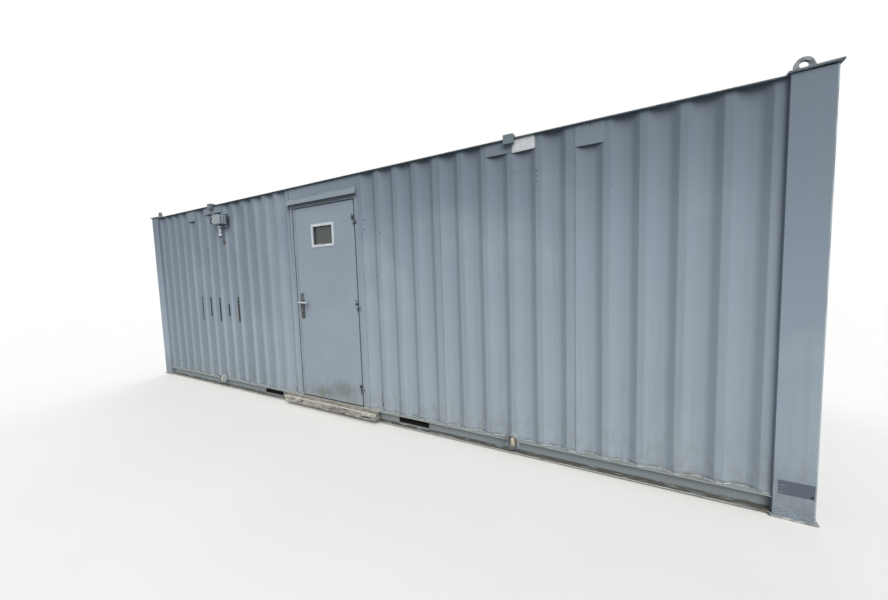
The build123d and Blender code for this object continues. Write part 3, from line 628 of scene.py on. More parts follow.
# Old weld metal: near-black scale with brown rust and specks of the wall's paint
weld_scar = Finish("rusted_weld_scar", "#23282D", 0.75, gloss=0.1)
weld_scar.coat([weld_scar.patches(0.020, 0.46, 0.64, stretch=(1, 1, 3))], 0.6, "#3F3832", 0.85)
weld_scar.coat([weld_scar.patches(0.015, 0.60, 0.68, shift=4.0)], 0.7, "#8E99A2", 0.5)
# fresh yellow rust down the right-hand side of the last weld
fresh_rust_marks = ((-1.590, 0.98, 0.005, 0.09), (-1.590, 1.12, 0.004, 0.05))
weld_scar.coat([weld_scar.spots(fresh_rust_marks)], 0.7, "#9C8A66")
weld_scar.emboss((0.004, 0.0006))
make_piece(remains, "bracket_remains", "cabin", weld_scar, "wall_paint", sharp=60.0)


# Corrugated sheets of the back and the ends
# The same folded sheet on the sides that the door side hides, sprayed in the same enamel.

plain_wall_paint = sprayed_enamel("sprayed_wall_enamel_rear", "#98A4AF", "#838F9B")
for node, across in (("back_sheet", 1), ("end_sheet_left", 0), ("end_sheet_right", 0)):
    make_piece(folded_sheet(node, across), node + "_skin", "cabin", plain_wall_paint, "wall_paint", node)


# Flat panel round the door
# One flat sheet in line with the crests, cut out for the door frame and welded to the ribbed sheets.

panel = clean_copy("door_panel_sides", "door_panel_over")
round_edges(panel, 0.0006, segments=1)
make_piece(panel, "door_panel", "cabin", wall_paint, "wall_paint", "door_panel_sides", "door_panel_over")


# Corner posts
# Folded steel angles from base plate to cap plate; the outer fold is painted paler and the foot is
# splashed.

posts = clean_copy("corner_posts")
round_edges(posts, 0.0016, segments=2, sharper_than=60.0)
post_paint = sprayed_enamel("sprayed_post_enamel", "#97A4B2", "#6A7684", streaks=0.22)
post_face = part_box("corner_posts")[0][1]
post_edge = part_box("corner_posts")[1][0]
on_front = post_paint.level("Y", post_face + 0.012, post_face + 0.004)
# dull with damp near the ground
post_paint.coat([post_paint.level("Z", 0.34, 0.22)], 0.22, "#6A747D", 0.7)
# a square of darker touch-up paint near the foot of the right-hand post, thin on its left where the
# brush ran dry, with a drilled hole beside it
touch_up_mark = (3.575, 0.181, 0.078, 0.042)
hole_mark = (3.640, 0.153, 0.007, 0.007)
touch_up = post_paint.spots((touch_up_mark,), soft=0.06, square=True, ragged=0.002)
post_paint.coat([touch_up, on_front], 0.95, "#5C6570", 0.5)
brushed = post_paint.patches(0.005, 0.56, 0.68, stretch=(14, 1, 1))
dry_part = post_paint.level("X", 3.560, 3.515)
post_paint.coat([touch_up, on_front, brushed, dry_part], 0.6, "#8894A0")
hole = post_paint.spots((hole_mark,), soft=0.2, ragged=0.001)
post_paint.coat([hole, on_front], 1.0, "#20262B", 0.7)
# the outer fold, painted paler than the rest in streaks
at_fold = post_paint.level("X", post_edge - 0.011, post_edge - 0.005)
pale_fold_streaks = post_paint.patches(0.05, 0.35, 0.55, stretch=(1, 1, 5))
post_paint.coat([at_fold, pale_fold_streaks, on_front], 0.7, "#B4BDC3", 0.5)
# mud splashed on the foot
speckle = post_paint.patches(0.007, 0.52, 0.60, shift=6.0)
post_paint.coat([post_paint.level("Z", 0.13, 0.03), speckle], 0.7, "#5B5F60", 0.85)
make_piece(posts, "corner_posts_folded", "cabin", post_paint, "frame_paint", "corner_posts")


# Base plates and cap plates
# Flame-cut steel plates welded under and over the posts; the cut edges have lost most of their paint.

plate_paint = sprayed_enamel("sprayed_plate_enamel", "#8D99A3", "#5E6973", dust=0.9)
# the base plates show bare, chalky steel, and both kinds rust in spots
worn = plate_paint.patches(0.03, 0.40, 0.56, shift=1.0)
plate_paint.coat([plate_paint.level("Z", 0.013, 0.010), worn], 0.85, "#CFCDC5", 0.8)
plate_paint.coat([plate_paint.patches(0.02, 0.60, 0.70, shift=8.0)], 0.6, "#5D4B3E", 0.85)
plates = clean_copy("base_plates", "cap_plates")
round_edges(plates, 0.0015, segments=2)
# a blow has bent up the outer corner of the cap plate over the right-hand post
cap_low, cap_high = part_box("cap_plates")
bent_corner = Vector((cap_high[0], cap_low[1]))
bent_reach, bent_rise = 0.030, 0.009
for vert in plates.verts:
    reach = (vert.co.xy - bent_corner).length
    if vert.co.z > cap_low[2] - 0.001 and reach < bent_reach:
        vert.co.z += bent_rise * (1 - reach / bent_reach)
make_piece(plates, "post_plates", "cabin", plate_paint, "frame_paint", "base_plates", "cap_plates")


# Lifting lugs
# Flame-cut eyes welded upright on the cap plates; chains have scraped them to bare, dark steel.

lugs = clean_copy("lifting_lugs")
round_edges(lugs, 0.0025, segments=2, sharper_than=50.0)
lug_low, lug_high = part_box("lifting_lugs")
lug_thickness, lug_length = 0.020, 0.100
# the fillet welds at the foot of each lug stop 2 mm short of its ends
weld_short, weld_z = 0.002, lug_low[2] + 0.001
fillet_width, fillet_lap = 0.008, 0.009
for side in (-1, 1):
    outer, inner = lug_high[0] - weld_short, lug_high[0] - lug_length + weld_short
    left, right = sorted((side * outer, side * inner))
    for y in (lug_low[1], lug_low[1] + lug_thickness, lug_high[1] - lug_thickness, lug_high[1]):
        weld_bead(lugs, (left, y, weld_z), (right, y, weld_z), fillet_width, fillet_lap)
# Scraped steel with remains of grey enamel and dark oxide
lug_steel = Finish("scraped_lug_steel", "#565E66", 0.55)
lug_steel.coat([lug_steel.patches(0.022, 0.42, 0.58)], 0.85, "#8C959B", 0.5)
lug_steel.coat([lug_steel.patches(0.013, 0.56, 0.68, shift=3.0)], 0.8, "#33383C", 0.65)
lug_steel.coat([lug_steel.patches(0.016, 0.63, 0.72, shift=5.0)], 0.7, "#6A5545", 0.85)
lug_steel.emboss((0.008, 0.0006))
make_piece(lugs, "lifting_lugs_cut", "cabin", lug_steel, "frame_paint", "lifting_lugs")


# Base rails, fork pockets and joists
# Pressed steel channels with the flanges outwards, and plates welded across for a lift truck's forks.

rails = clean_copy("base_rail_flanges")
round_edges(rails, 0.0012, segments=2, sharper_than=50.0)
rail_paint = sprayed_enamel("sprayed_rail_enamel", "#8F9A9F", "#8F9A9F", dust=0.9)
# the lower flange holds wet dirt on its top and shows a chalky edge
lower_flange = rail_paint.level("Z", 0.024, 0.016)
wet_dirt = rail_paint.patches(0.025, 0.30, 0.52, stretch=(3, 1, 1), shift=2.5)
behind_edge = rail_paint.level("Y", post_face + 0.0065, post_face + 0.0085)
rail_paint.coat([lower_flange, wet_dirt, behind_edge], 0.85, "#4A4741", 0.95)
edge_front = rail_paint.level("Y", post_face + 0.0075, post_face + 0.0060)
chalk = rail_paint.patches(0.05, 0.30, 0.45, stretch=(3, 1, 1))
rail_paint.coat([edge_front, chalk, rail_paint.level("Z", 0.03, 0.02)], 0.92, "#D8D6CD", 0.85)
rail_paint.coat([edge_front, chalk], 0.35, "#AEB5B5", 0.7)
rust_runs = rail_paint.patches(0.035, 0.62, 0.72, stretch=(4, 1, 1), shift=12.0)
rail_paint.coat([rust_runs], 0.55, "#6B5646", 0.85)
make_piece(rails, "base_rails_pressed", "cabin", rail_paint, "frame_paint", "base_rail_flanges")


def refinish(finish, *nodes):
    """Gives CAD nodes that are shown as they are a real finish in place of the plain one."""
    for node in nodes:
        for material_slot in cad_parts[node].material_slots:
            material_slot.material = finish.material


# Unseen steel under the floor and inside the walls: grey primer with road dirt
primer = Finish("grey_primer_with_dirt", "#7B838A", 0.65)
primer.coat([primer.patches(0.12, 0.40, 0.65)], 0.6, "#5C5B55", 0.9)
primer.coat([primer.patches(0.03, 0.60, 0.70, shift=4.0)], 0.6, "#6B5344", 0.9)
primer.emboss((0.02, 0.0004))
# The webs stand back between the flanges: plain mid grey, with wet dirt along their feet
web_paint = sprayed_enamel("sprayed_web_enamel", "#8D959A", "#8D959A", dust=0.15)
wet_dirt = web_paint.patches(0.03, 0.28, 0.48, stretch=(3, 1, 1), shift=2.5)
web_paint.coat([web_paint.level("Z", 0.034, 0.022), wet_dirt], 0.85, "#4A4741", 0.95)
# green algae at the right-hand end, which stays wet
algae = web_paint.patches(0.04, 0.40, 0.66)
wet_end, wet_foot = web_paint.level("X", 2.7, 3.3), web_paint.level("Z", 0.050, 0.020)
web_paint.coat([wet_end, wet_foot, algae], 0.6, "#5F6654", 0.95)
refinish(web_paint, "base_rail_webs", "base_rails_end")
refinish(primer, "floor_joists", "top_rails_long", "top_rails_end")
# The pockets' plates: the same primer painted near black as the shade inside the pockets, with patches of
# mud and of grey primer
shaded_pocket_steel = Finish("pocket_steel_painted_dark_as_shade", "#2E3031", 0.8, gloss=0.1)
shaded_pocket_steel.coat([shaded_pocket_steel.patches(0.10, 0.42, 0.66)], 0.5, "#45423C", 0.95)
shaded_pocket_steel.coat([shaded_pocket_steel.patches(0.03, 0.62, 0.72, shift=4.0)], 0.5, "#565C61", 0.7)
shaded_pocket_steel.emboss((0.02, 0.0004))
refinish(shaded_pocket_steel, "fork_pocket_plates", "fork_pocket_sides")


# Roof
# A ribbed steel sheet under flat edge bars; water stands in its troughs and leaves dark dirt.

bars = clean_copy("roof_edge_bars")
round_edges(bars, 0.0015, segments=2, sharper_than=50.0)
bar_paint = sprayed_enamel("sprayed_edge_bar_enamel", "#7A858F", "#59636D", streaks=0.5)
bar_paint.coat([bar_paint.patches(0.05, 0.42, 0.66, shift=2.0)], 0.6, "#474F57", 0.7)
make_piece(bars, "roof_edge_bars_welded", "cabin", bar_paint, "frame_paint", "roof_edge_bars")

roof = clean_copy("roof_sheet")
bevel(roof, edges_at(roof, *fold_angles, along=1), fold_width, 2)
roof_paint = Finish("weathered_roof_enamel", "#8D969B", 0.6)
roof_paint.coat([roof_paint.patches(0.5, 0.40, 0.70)], 0.45, "#737B7C", 0.75)
trough_dirt = roof_paint.patches(0.18, 0.30, 0.60, stretch=(1, 3, 1))
roof_paint.coat([roof_paint.level("Z", 2.378, 2.360), trough_dirt], 0.75, "#55564D", 0.9)
roof_paint.coat([roof_paint.patches(0.04, 0.62, 0.72, shift=6.0)], 0.5, "#6E5B4B", 0.9)
roof_paint.emboss((0.3, 0.0015), (0.02, 0.0003))
make_piece(roof, "roof_sheet_folded", "cabin", roof_paint, "galvanised", "roof_sheet")


# Cover plates and the bare sign plate
# Flat steel plates welded over the troughs under the roof edge, and a thin white plate with no words.

cover_paint = sprayed_enamel("sprayed_cover_enamel", "#8A949D", "#78848F", streaks=0.5)
# darker towards the roof and the right: painted shade
cover_paint.coat([cover_paint.level("Z", 2.2, 2.4), cover_paint.level("X", 0, 2)], 0.3, "#5A6571")
# a crack in the weld at the top of the right-hand plate
crack_mark = (2.521, 2.368, 0.0028, 0.017)
crack = cover_paint.spots((crack_mark,), soft=0.4, ragged=0.003)
cover_paint.coat([crack], 0.95, "#1F262C", 0.8)
covers = clean_copy("cover_plates")
round_edges(covers, 0.0010, segments=2)
make_piece(covers, "cover_plates_welded", "cabin", cover_paint, "wall_paint", "cover_plates")

sign = clean_copy("sign_plate")
sign_low, sign_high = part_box("sign_plate")
sign_corner = 0.006
sign_left = 1.990
sign_tilt = math.radians(-1.6)
sign_shrink = (0.985, 1, 0.955)
corners = [e for e in sign.edges if abs(e.verts[0].co.y - e.verts[1].co.y) > 0.001]
bevel(sign, corners, sign_corner, 4, clamp=False)
round_edges(sign, 0.0004, segments=1, sharper_than=60.0)
middle_x, middle_z = (sign_low[0] + sign_high[0]) / 2, (sign_low[2] + sign_high[2]) / 2
# its left part runs on behind the rainwater box
for vert in sign.verts:
    if vert.co.x < middle_x:
        vert.co.x += sign_left - sign_low[0]
# it hangs a little askew, and so is a little smaller than its place
tilt = Matrix.Rotation(sign_tilt, 3, "Y")
bmesh.ops.rotate(sign, verts=sign.verts, cent=(middle_x, 0, middle_z), matrix=tilt)
about_middle = Matrix.Translation((-middle_x, -sign_high[1], -middle_z))
bmesh.ops.scale(sign, verts=sign.verts, vec=sign_shrink, space=about_middle)
# White enamelled aluminium, bare of words, with dust along its lower edge
sign_white = Finish("white_plate_enamel", "#C3C5CB", 0.4)
sign_white.coat([sign_white.patches(0.03, 0.42, 0.70)], 0.35, "#A9ACB1", 0.5)
sign_white.coat([sign_white.level("Z", sign_low[2] + 0.02, sign_low[2])], 0.45, "#8F9295", 0.7)
make_piece(sign, "sign_plate_bare", "cabin", sign_white, "sign_face", "sign_plate")


# Rainwater boxes
# Small welded boxes on the roof edge that take the water down a pipe inside the wall.

boxes = clean_copy("rain_boxes")
round_edges(boxes, 0.0020, segments=2)
box_paint = sprayed_enamel("sprayed_rain_box_enamel", "#8E99A2", "#6B7680", streaks=0.6)
box_paint.coat([box_paint.patches(0.03, 0.48, 0.66, shift=5.0)], 0.35, "#4A525A", 0.7)
make_piece(boxes, "rain_boxes_welded", "cabin", box_paint, "frame_paint", "rain_boxes")


# Drains at the base rail
# A bent plastic pipe leaves the wall under a welded steel hood and turns down in front of the rail.

hoods = clean_copy("drain_hoods")
round_edges(hoods, 0.0010, segments=2, sharper_than=50.0)
hood_paint = sprayed_enamel("sprayed_hood_enamel", "#A4AEB4", "#A4AEB4", dust=0.8)
make_piece(hoods, "drain_hoods_bent", "cabin", hood_paint, "frame_paint", "drain_hoods")

pipe_radius = 0.020
pipe_wall = 0.003
bend_radius = 0.030
elbow_low, elbow_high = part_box("drain_elbows")
pipe_level = elbow_high[2] - pipe_radius
bend_y = elbow_low[1] + pipe_radius + bend_radius


def upright(x, y, z):
    """A place on an upright face, where a shape's own axis turns to point along Y."""
    return Matrix.Translation((x, y, z)) @ Matrix.Rotation(math.radians(90), 4, "X")


def only(kind, parts):
    """The verts or the edges among the parts that an operator gives back."""
    return [part for part in parts if isinstance(part, kind)]


elbows = bmesh.new()
for centre in (elbow_low[0] + pipe_radius, elbow_high[0] - pipe_radius):
    mouth = upright(centre, elbow_high[1], pipe_level)
    ring = bmesh.ops.create_circle(elbows, segments=28, radius=pipe_radius, matrix=mouth)["verts"]
    edges = list({e for v in ring for e in v.link_edges})
    out = bmesh.ops.extrude_edge_only(elbows, edges=edges)["geom"]
    moved = only(bmesh.types.BMVert, out)
    bmesh.ops.translate(elbows, verts=moved, vec=(0, bend_y - elbow_high[1], 0))
    turned = bmesh.ops.spin(
        elbows,
        geom=moved + only(bmesh.types.BMEdge, out),
        cent=(centre, bend_y, pipe_level - bend_radius),
        axis=(1, 0, 0),
        angle=math.radians(90),
        steps=10,
    )["geom_last"]
    down = bmesh.ops.extrude_edge_only(elbows, edges=only(bmesh.types.BMEdge, turned))["geom"]
    drop = elbow_low[2] - (pipe_level - bend_radius)
    bmesh.ops.translate(elbows, verts=only(bmesh.types.BMVert, down), vec=(0, 0, drop))
bmesh.ops.remove_doubles(elbows, verts=elbows.verts, dist=0.00002)
bmesh.ops.recalc_face_normals(elbows, faces=elbows.faces)
bmesh.ops.solidify(elbows, geom=elbows.faces, thickness=pipe_wall)
# Unplasticised PVC pipe, once white, yellowed by the sun and stained by what runs out
pvc = Finish("yellowed_pvc_pipe", "#B9B4A6", 0.5)
pvc.coat([pvc.patches(0.02, 0.42, 0.62)], 0.55, "#9C8A6B", 0.6)
pvc.coat([pvc.level("Z", 0.105, 0.090)], 0.6, "#6E614B", 0.8)
make_piece(elbows, "drain_elbows_bent", "cabin", pvc, "drain_plastic", "drain_elbows")


# Door frame, sill and seal
# Pressed steel jambs and head in the door's paint, a galvanised sill and a black rubber seal.

leaf_low, leaf_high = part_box("door_leaf")
frame_pieces = clean_copy("door_jambs", "door_frame_head")
round_edges(frame_pieces, 0.0008, segments=2, sharper_than=50.0)
frame_paint = sprayed_enamel("sprayed_door_frame_enamel", "#93A0AA", "#818D99", streaks=0.3)
# the gap round the leaf is painted dark: grime and painted shade
jamb_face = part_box("door_jambs")[0][1]
gap_front = frame_paint.level("Y", jamb_face + 0.003, jamb_face + 0.006)
gap_back = frame_paint.level("Y", jamb_face + 0.060, jamb_face + 0.050)
frame_paint.coat([gap_front, gap_back], 0.85, "#2E343A", 0.8)
# and a dark line on the lip of the frame round the leaf: painted shadow along the gap
leaf_middle = (leaf_low[0] + leaf_high[0]) / 2
half_leaf = (leaf_high[0] - leaf_low[0]) / 2
leaf_gap = 0.006
half_opening = half_leaf + leaf_gap


def from_leaf_middle(finish):
    """The object's coordinates with X as the distance from the middle of the leaf to either side."""
    sockets = {0: finish.place, 1: (leaf_middle, 0, 0)}
    moved = add_node(finish.tree, "VectorMath", sockets, operation="SUBTRACT").outputs[0]
    return add_node(finish.tree, "VectorMath", {0: moved}, operation="ABSOLUTE").outputs[0]


beside_leaf = from_leaf_middle(frame_paint)
lip_sides = frame_paint.level("X", half_opening + 0.012, half_opening + 0.008, beside_leaf)
lip_top = frame_paint.level("Z", leaf_high[2] + 0.013, leaf_high[2] + 0.010)
on_face = frame_paint.level("Y", jamb_face + 0.004, jamb_face + 0.002)
frame_paint.coat([lip_sides, lip_top, on_face], 0.80, "#2E353C", 0.8)
make_piece(
    frame_pieces, "door_frame_pressed", "cabin", frame_paint, "door_paint", "door_jambs", "door_frame_head"
)

# Galvanised sheet: pale zinc flowers, trodden dull in the middle
zinc = Finish("galvanised_sill", "#8F9598", 0.5, metallic=0.7)
zinc.coat([zinc.patches(0.012, 0.45, 0.55, detail=0.0)], 0.5, "#A7ACAE", 0.4)
zinc.coat([zinc.patches(0.08, 0.45, 0.65, shift=3.0)], 0.6, "#6E6B63", 0.85, 0.1)
refinish(zinc, "door_sill")

# the seal lies behind the leaf, round its sides and its top
seal_y = leaf_high[1] + 0.0024
seal_inset = 0.004
# rubber lies even, so its ripples are long
seal_width, seal_lap = 0.0045, 0.25
seal_left, seal_right = leaf_low[0] + seal_inset, leaf_high[0] - seal_inset
seal_foot, seal_top = leaf_low[2] + seal_inset, leaf_high[2] - seal_inset
top_left, top_right = (seal_left, seal_y, seal_top), (seal_right, seal_y, seal_top)
seal = bmesh.new()
for start, end in (
    ((seal_left, seal_y, seal_foot), top_left),
    ((seal_right, seal_y, seal_foot), top_right),
    (top_left, top_right),
):
    weld_bead(seal, start, end, seal_width, seal_lap)
# Extruded EPDM rubber, matt black with a dusting of grey
rubber = Finish("black_epdm_rubber", "#1E2022", 0.7)
rubber.coat([rubber.patches(0.03, 0.45, 0.65)], 0.4, "#3A3C3D", 0.8)
make_piece(seal, "door_seal", "cabin", rubber, "door_paint", sharp=60.0)


# Door leaf
# A flush steel leaf filled with foam; a flat bar welded down the lock edge covers the gap.

leaf = clean_copy("door_leaf")
round_edges(leaf, 0.0012, segments=2, sharper_than=50.0)
leaf_paint = sprayed_enamel("sprayed_door_enamel", "#96A2AF", "#8793A0", streaks=0.16)
# dirt beside the flat bar on the lock edge
strip_width = 0.0305
strip_end = leaf_low[0] + strip_width
beside_strip = leaf_paint.level("X", strip_end + 0.010, strip_end + 0.001)
dirt = leaf_paint.patches(0.04, 0.35, 0.60, stretch=(1, 1, 6))
leaf_paint.coat([beside_strip, dirt], 0.35, "#727E87", 0.6)
# boots and hands: a grey smudge low on the leaf, darker fields round the lever and along the foot,
# and a broad blotch of grime under the smudge
smudge_mark = (0.170, 0.303, 0.020, 0.014)
handled_marks = ((-0.36, 1.14, 0.10, 0.20), (-0.05, 0.22, 0.42, 0.10))
blotch_marks = ((0.16, 0.255, 0.26, 0.150), (-0.14, 0.19, 0.26, 0.08))
leaf_paint.coat([leaf_paint.spots((smudge_mark,), soft=0.8)], 0.6, "#6D7276", 0.7)
leaf_paint.coat([leaf_paint.spots(handled_marks, soft=0.9, ragged=0.03)], 0.22, "#7A8288", 0.55)
splashes = leaf_paint.patches(0.06, 0.34, 0.62, stretch=(1, 1, 2))
leaf_paint.coat([leaf_paint.level("Z", 0.34, 0.125), splashes], 0.45, "#8B8B84", 0.7)
leaf_paint.coat([leaf_paint.spots(blotch_marks, soft=0.95, ragged=0.05)], 0.55, "#6F756E", 0.7)
# the leaf's narrow sides are painted dark: painted shade of the gap
sides = leaf_paint.level("X", half_leaf - 0.0008, half_leaf - 0.0002, from_leaf_middle(leaf_paint))
behind_face = leaf_paint.level("Y", leaf_low[1] + 0.007, leaf_low[1] + 0.010)
leaf_paint.coat([sides, behind_face], 0.8, "#343A40", 0.8)
# a dark band along the foot of the leaf: painted shadow of the gap over the sill
foot_gap_shadow = leaf_paint.level("Z", leaf_low[2] + 0.009, leaf_low[2] + 0.007)
leaf_paint.coat([foot_gap_shadow], 0.9, "#23272B", 0.7)
make_piece(leaf, "door_leaf_flush", "door", leaf_paint, "door_paint", "door_leaf")


# Vision panel
# A wired, tinted pane in a white frame of extruded aluminium, screwed through the leaf.

vision_low, vision_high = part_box("vision_frame")
vision_lip = 0.0075
vision = clean_copy("vision_frame")
round_edges(vision, 0.0025, segments=3, sharper_than=50.0)
# White powder coat, slightly chalky, with dirt in the corners
white_coat = Finish("white_powder_coat", "#C8CED6", 0.4)
white_coat.coat([white_coat.patches(0.05, 0.42, 0.68)], 0.45, "#9FA8B3", 0.5)
white_coat.coat([white_coat.patches(0.008, 0.64, 0.72, shift=4.0)], 0.6, "#7D8488", 0.7)
white_coat.emboss((0.004, 0.00008))
# the liner inside the opening is in the glazing tape's black
behind_lip = white_coat.level("Y", vision_low[1] + vision_lip, vision_low[1] + vision_lip + 0.002)
before_back_lip = white_coat.level("Y", vision_high[1] - vision_lip, vision_high[1] - vision_lip - 0.002)
white_coat.coat([behind_lip, before_back_lip], 0.92, "#33383B", 0.6)
make_piece(vision, "vision_frame_screwed", "door", white_coat, "white_trim", "vision_frame")

screw_inset = 0.012
screw_radius, screw_tip, screw_height, screw_facets = 0.0042, 0.0030, 0.0024, 16
screw_out = 0.0002
recess_inset, recess_depth = 0.0012, 0.0008
screws = bmesh.new()
for x in (vision_low[0] + screw_inset, (vision_low[0] + vision_high[0]) / 2, vision_high[0] - screw_inset):
    for z in (vision_low[2] + screw_inset, vision_high[2] - screw_inset):
        head = bmesh.ops.create_cone(
            screws,
            cap_ends=True,
            segments=screw_facets,
            radius1=screw_radius,
            radius2=screw_tip,
            depth=screw_height,
            matrix=upright(x, vision_low[1] - screw_out, z),
        )["verts"]
        caps = {f for v in head for f in v.link_faces if len(f.verts) == screw_facets}
        tip = min(caps, key=lambda f: f.calc_center_median().y)
        # the recess for the driver
        bmesh.ops.inset_individual(screws, faces=[tip], thickness=recess_inset, depth=-recess_depth)
# Zinc-plated screw heads
screw_zinc = Finish("zinc_plated_screw", "#9BA0A2", 0.38, metallic=0.9)
screw_zinc.coat([screw_zinc.patches(0.004, 0.50, 0.62)], 0.6, "#6B6660", 0.7, 0.2)
make_piece(screws, "vision_frame_screws", "door", screw_zinc, "white_trim")

# Laminated glass with an olive tint: dark, painted lighter towards its foot as a reflection of the sky, and
# lighter in rough patches
pane = Finish("tinted_laminated_glass", "#3A3F40", 0.12, gloss=0.6)
pane.coat([pane.level("Z", 1.95, 1.80)], 0.35, "#4A5048")
pane.coat([pane.patches(0.05, 0.45, 0.75)], 0.25, "#555B55", 0.25)
refinish(pane, "vision_glass")


# Lock plates, cylinder and lever
# Long satin stainless plates on both faces, a key cylinder under the spindle and a forged lever.

lock_plates = clean_copy("lock_plates")
round_edges(lock_plates, 0.0004, segments=1, sharper_than=60.0)
# Satin stainless steel, brushed along the plate, with finger marks
stainless = Finish("soiled_stainless_plate", "#565A5C", 0.45, metallic=0.75)
brushing = stainless.patches(0.0015, 0.40, 0.60, stretch=(1, 1, 40))
stainless.coat([brushing], 0.35, "#44484A", 0.5)
stainless.coat([stainless.patches(0.03, 0.42, 0.62, shift=2.0)], 0.6, "#3B3A36", 0.7, 0.1)
wear = stainless.patches(0.012, 0.45, 0.60, stretch=(1, 1, 5))
stainless.coat([stainless.level("Z", 1.17, 1.20), wear], 0.8, "#8B9197", 0.35)
make_piece(lock_plates, "lock_plates_satin", "door", stainless, "stainless", "lock_plates")

plate_low, plate_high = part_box("lock_plates")
plate_middle = (plate_low[0] + plate_high[0]) / 2
cylinder_z = 1.078
# the profile of a key cylinder: a round barrel over a narrower tongue, as drop and radius
cylinder_profile = ((0.0, 0.0088), (-0.0120, 0.0052), (-0.0165, 0.0050))
cylinder_out, cylinder_depth, cylinder_facets = 0.0008, 0.0032, 24
plate_screw_inset, plate_screw_radius = 0.014, 0.0040
plate_screw_out, plate_screw_depth, plate_screw_facets = 0.0004, 0.0020, 18
cylinder = bmesh.new()
for face_y, way in ((plate_low[1], -1), (plate_high[1], 1)):
    rounds = []
    for drop, radius in cylinder_profile:
        rounds.append((cylinder_z + drop, cylinder_out, radius, cylinder_facets, cylinder_depth))
    for z in (plate_low[2] + plate_screw_inset, plate_high[2] - plate_screw_inset):
        rounds.append((z, plate_screw_out, plate_screw_radius, plate_screw_facets, plate_screw_depth))
    for z, out, radius, facets, depth in rounds:
        bmesh.ops.create_cone(
            cylinder,
            cap_ends=True,
            segments=facets,
            radius1=radius,
            radius2=radius,
            depth=depth,
            matrix=upright(plate_middle, face_y + way * out, z),
        )
round_edges(cylinder, 0.0004, segments=2, sharper_than=60.0)
# Nickel-plated brass, darker than the plate, with a dark keyway
nickel = Finish("nickel_plated_brass", "#7C7E7C", 0.3, metallic=1.0)
keyway_mark = (plate_middle, cylinder_z, 0.0012, 0.0045)
keyway = nickel.spots((keyway_mark,), soft=0.2, square=True, ragged=0.0001)
nickel.coat([keyway], 1.0, "#15171A", 0.7, 0.2)
make_piece(cylinder, "lock_cylinders", "door", nickel, "stainless")

lever = clean_copy("lever_handle")
round_edges(lever, 0.0042, segments=4, sharper_than=50.0)
lever_low, lever_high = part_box("lever_handle")
lever_z = (lever_low[2] + lever_high[2]) / 2
# Satin stainless steel with its underside painted dark as shade, and grey grime in patches
lever_steel = Finish("satin_stainless_lever", "#D2D6DA", 0.26, metallic=1.0)
shaded_underside = lever_steel.level("Z", lever_z - 0.001, lever_z - 0.005)
lever_steel.coat([shaded_underside], 0.88, "#3A3C3F", 0.5, 0.5)
lever_steel.coat([lever_steel.patches(0.02, 0.50, 0.70)], 0.3, "#8B9095", 0.4)
make_piece(lever, "lever_forged", "lever", lever_steel, "stainless", "lever_handle")


# Hinges
# Turned knuckles on steel pins, welded to the frame and the leaf by flags and painted over.

hinge_paint = sprayed_enamel("sprayed_hinge_enamel", "#8E99A2", "#7C8893", streaks=0.4)
# oil has run from the pins and gathered black dirt in patches
hinge_paint.coat([hinge_paint.patches(0.020, 0.43, 0.54)], 0.9, "#262B30", 0.8)
# each flag is welded by two short beads along its foot and top and a long one down its outer edge
half_flag, half_long_weld = 0.025, 0.024
short_weld_length = 0.020
short_weld_width, short_weld_lap = 0.004, 0.006
long_weld_width, long_weld_lap = 0.005, 0.007
for node, body in (("hinges_frame_side", "cabin"), ("hinges_leaf_side", "door")):
    knuckles = clean_copy(node)
    round_edges(knuckles, 0.0012, segments=2, sharper_than=55.0)
    low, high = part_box(node)
    flag_edge, way = (high[0], -1) if body == "cabin" else (low[0], 1)
    weld_y = high[1] - 0.001
    # the flags are the pieces between 30 and 60 mm high on the outer edge
    ends = sorted({round(v.co.z, 3) for v in knuckles.verts if abs(v.co.x - flag_edge) < 0.0018})
    middles = [(z1 + z2) / 2 for z1, z2 in zip(ends, ends[1:]) if 0.03 < z2 - z1 < 0.06]
    for middle in middles:
        for z in (middle - half_flag, middle + half_flag):
            outer, inner = (flag_edge, weld_y, z), (flag_edge + way * short_weld_length, weld_y, z)
            weld_bead(knuckles, outer, inner, short_weld_width, short_weld_lap)
        foot = (flag_edge, weld_y, middle - half_long_weld)
        top = (flag_edge, weld_y, middle + half_long_weld)
        weld_bead(knuckles, foot, top, long_weld_width, long_weld_lap)
    make_piece(knuckles, node + "_turned", body, hinge_paint, "hinge_steel", node)


# Drip canopy
# A bent sheet over the door whose slanting front throws the rain clear of the leaf.

canopy = clean_copy("canopy")
round_edges(canopy, 0.0012, segments=2)
canopy_paint = sprayed_enamel("sprayed_canopy_enamel", "#8A959D", "#7B8690", streaks=0.6)
# darker along the top where it meets the wall: painted shade with dirt; near black along the drip edge:
# painted shade
dirt = canopy_paint.patches(0.05, 0.30, 0.55, stretch=(3, 1, 1))
canopy_paint.coat([canopy_paint.level("Z", 2.255, 2.279), dirt], 0.7, "#59636B", 0.7)
canopy_paint.coat([canopy_paint.level("Z", 2.2065, 2.2045)], 0.9, "#2C3238", 0.8)
make_piece(canopy, "canopy_bent", "cabin", canopy_paint, "wall_paint", "canopy")


# Step
# A bent steel tread welded on the rail, once painted cream, trodden and rusted along its nose.

step = clean_copy("door_step")
round_edges(step, 0.0020, segments=2, sharper_than=50.0)
step_low, step_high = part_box("door_step")
step_paint = Finish("worn_cream_enamel", "#9B9993", 0.6)
step_paint.coat([step_paint.patches(0.09, 0.42, 0.62, stretch=(3, 1, 1))], 0.55, "#77766F", 0.7)
step_paint.coat([step_paint.patches(0.022, 0.55, 0.66, stretch=(2, 1, 1), shift=3.0)], 0.75, "#64503F", 0.9)
step_paint.coat([step_paint.patches(0.014, 0.60, 0.66, stretch=(4, 1, 1), shift=6.5)], 0.9, "#2E2B29", 0.9)
tread = step_paint.level("Z", step_high[2] - 0.012, step_high[2] - 0.005)
step_paint.coat([tread, step_paint.patches(0.08, 0.36, 0.58, shift=5.0)], 0.6, "#77705F", 0.85)
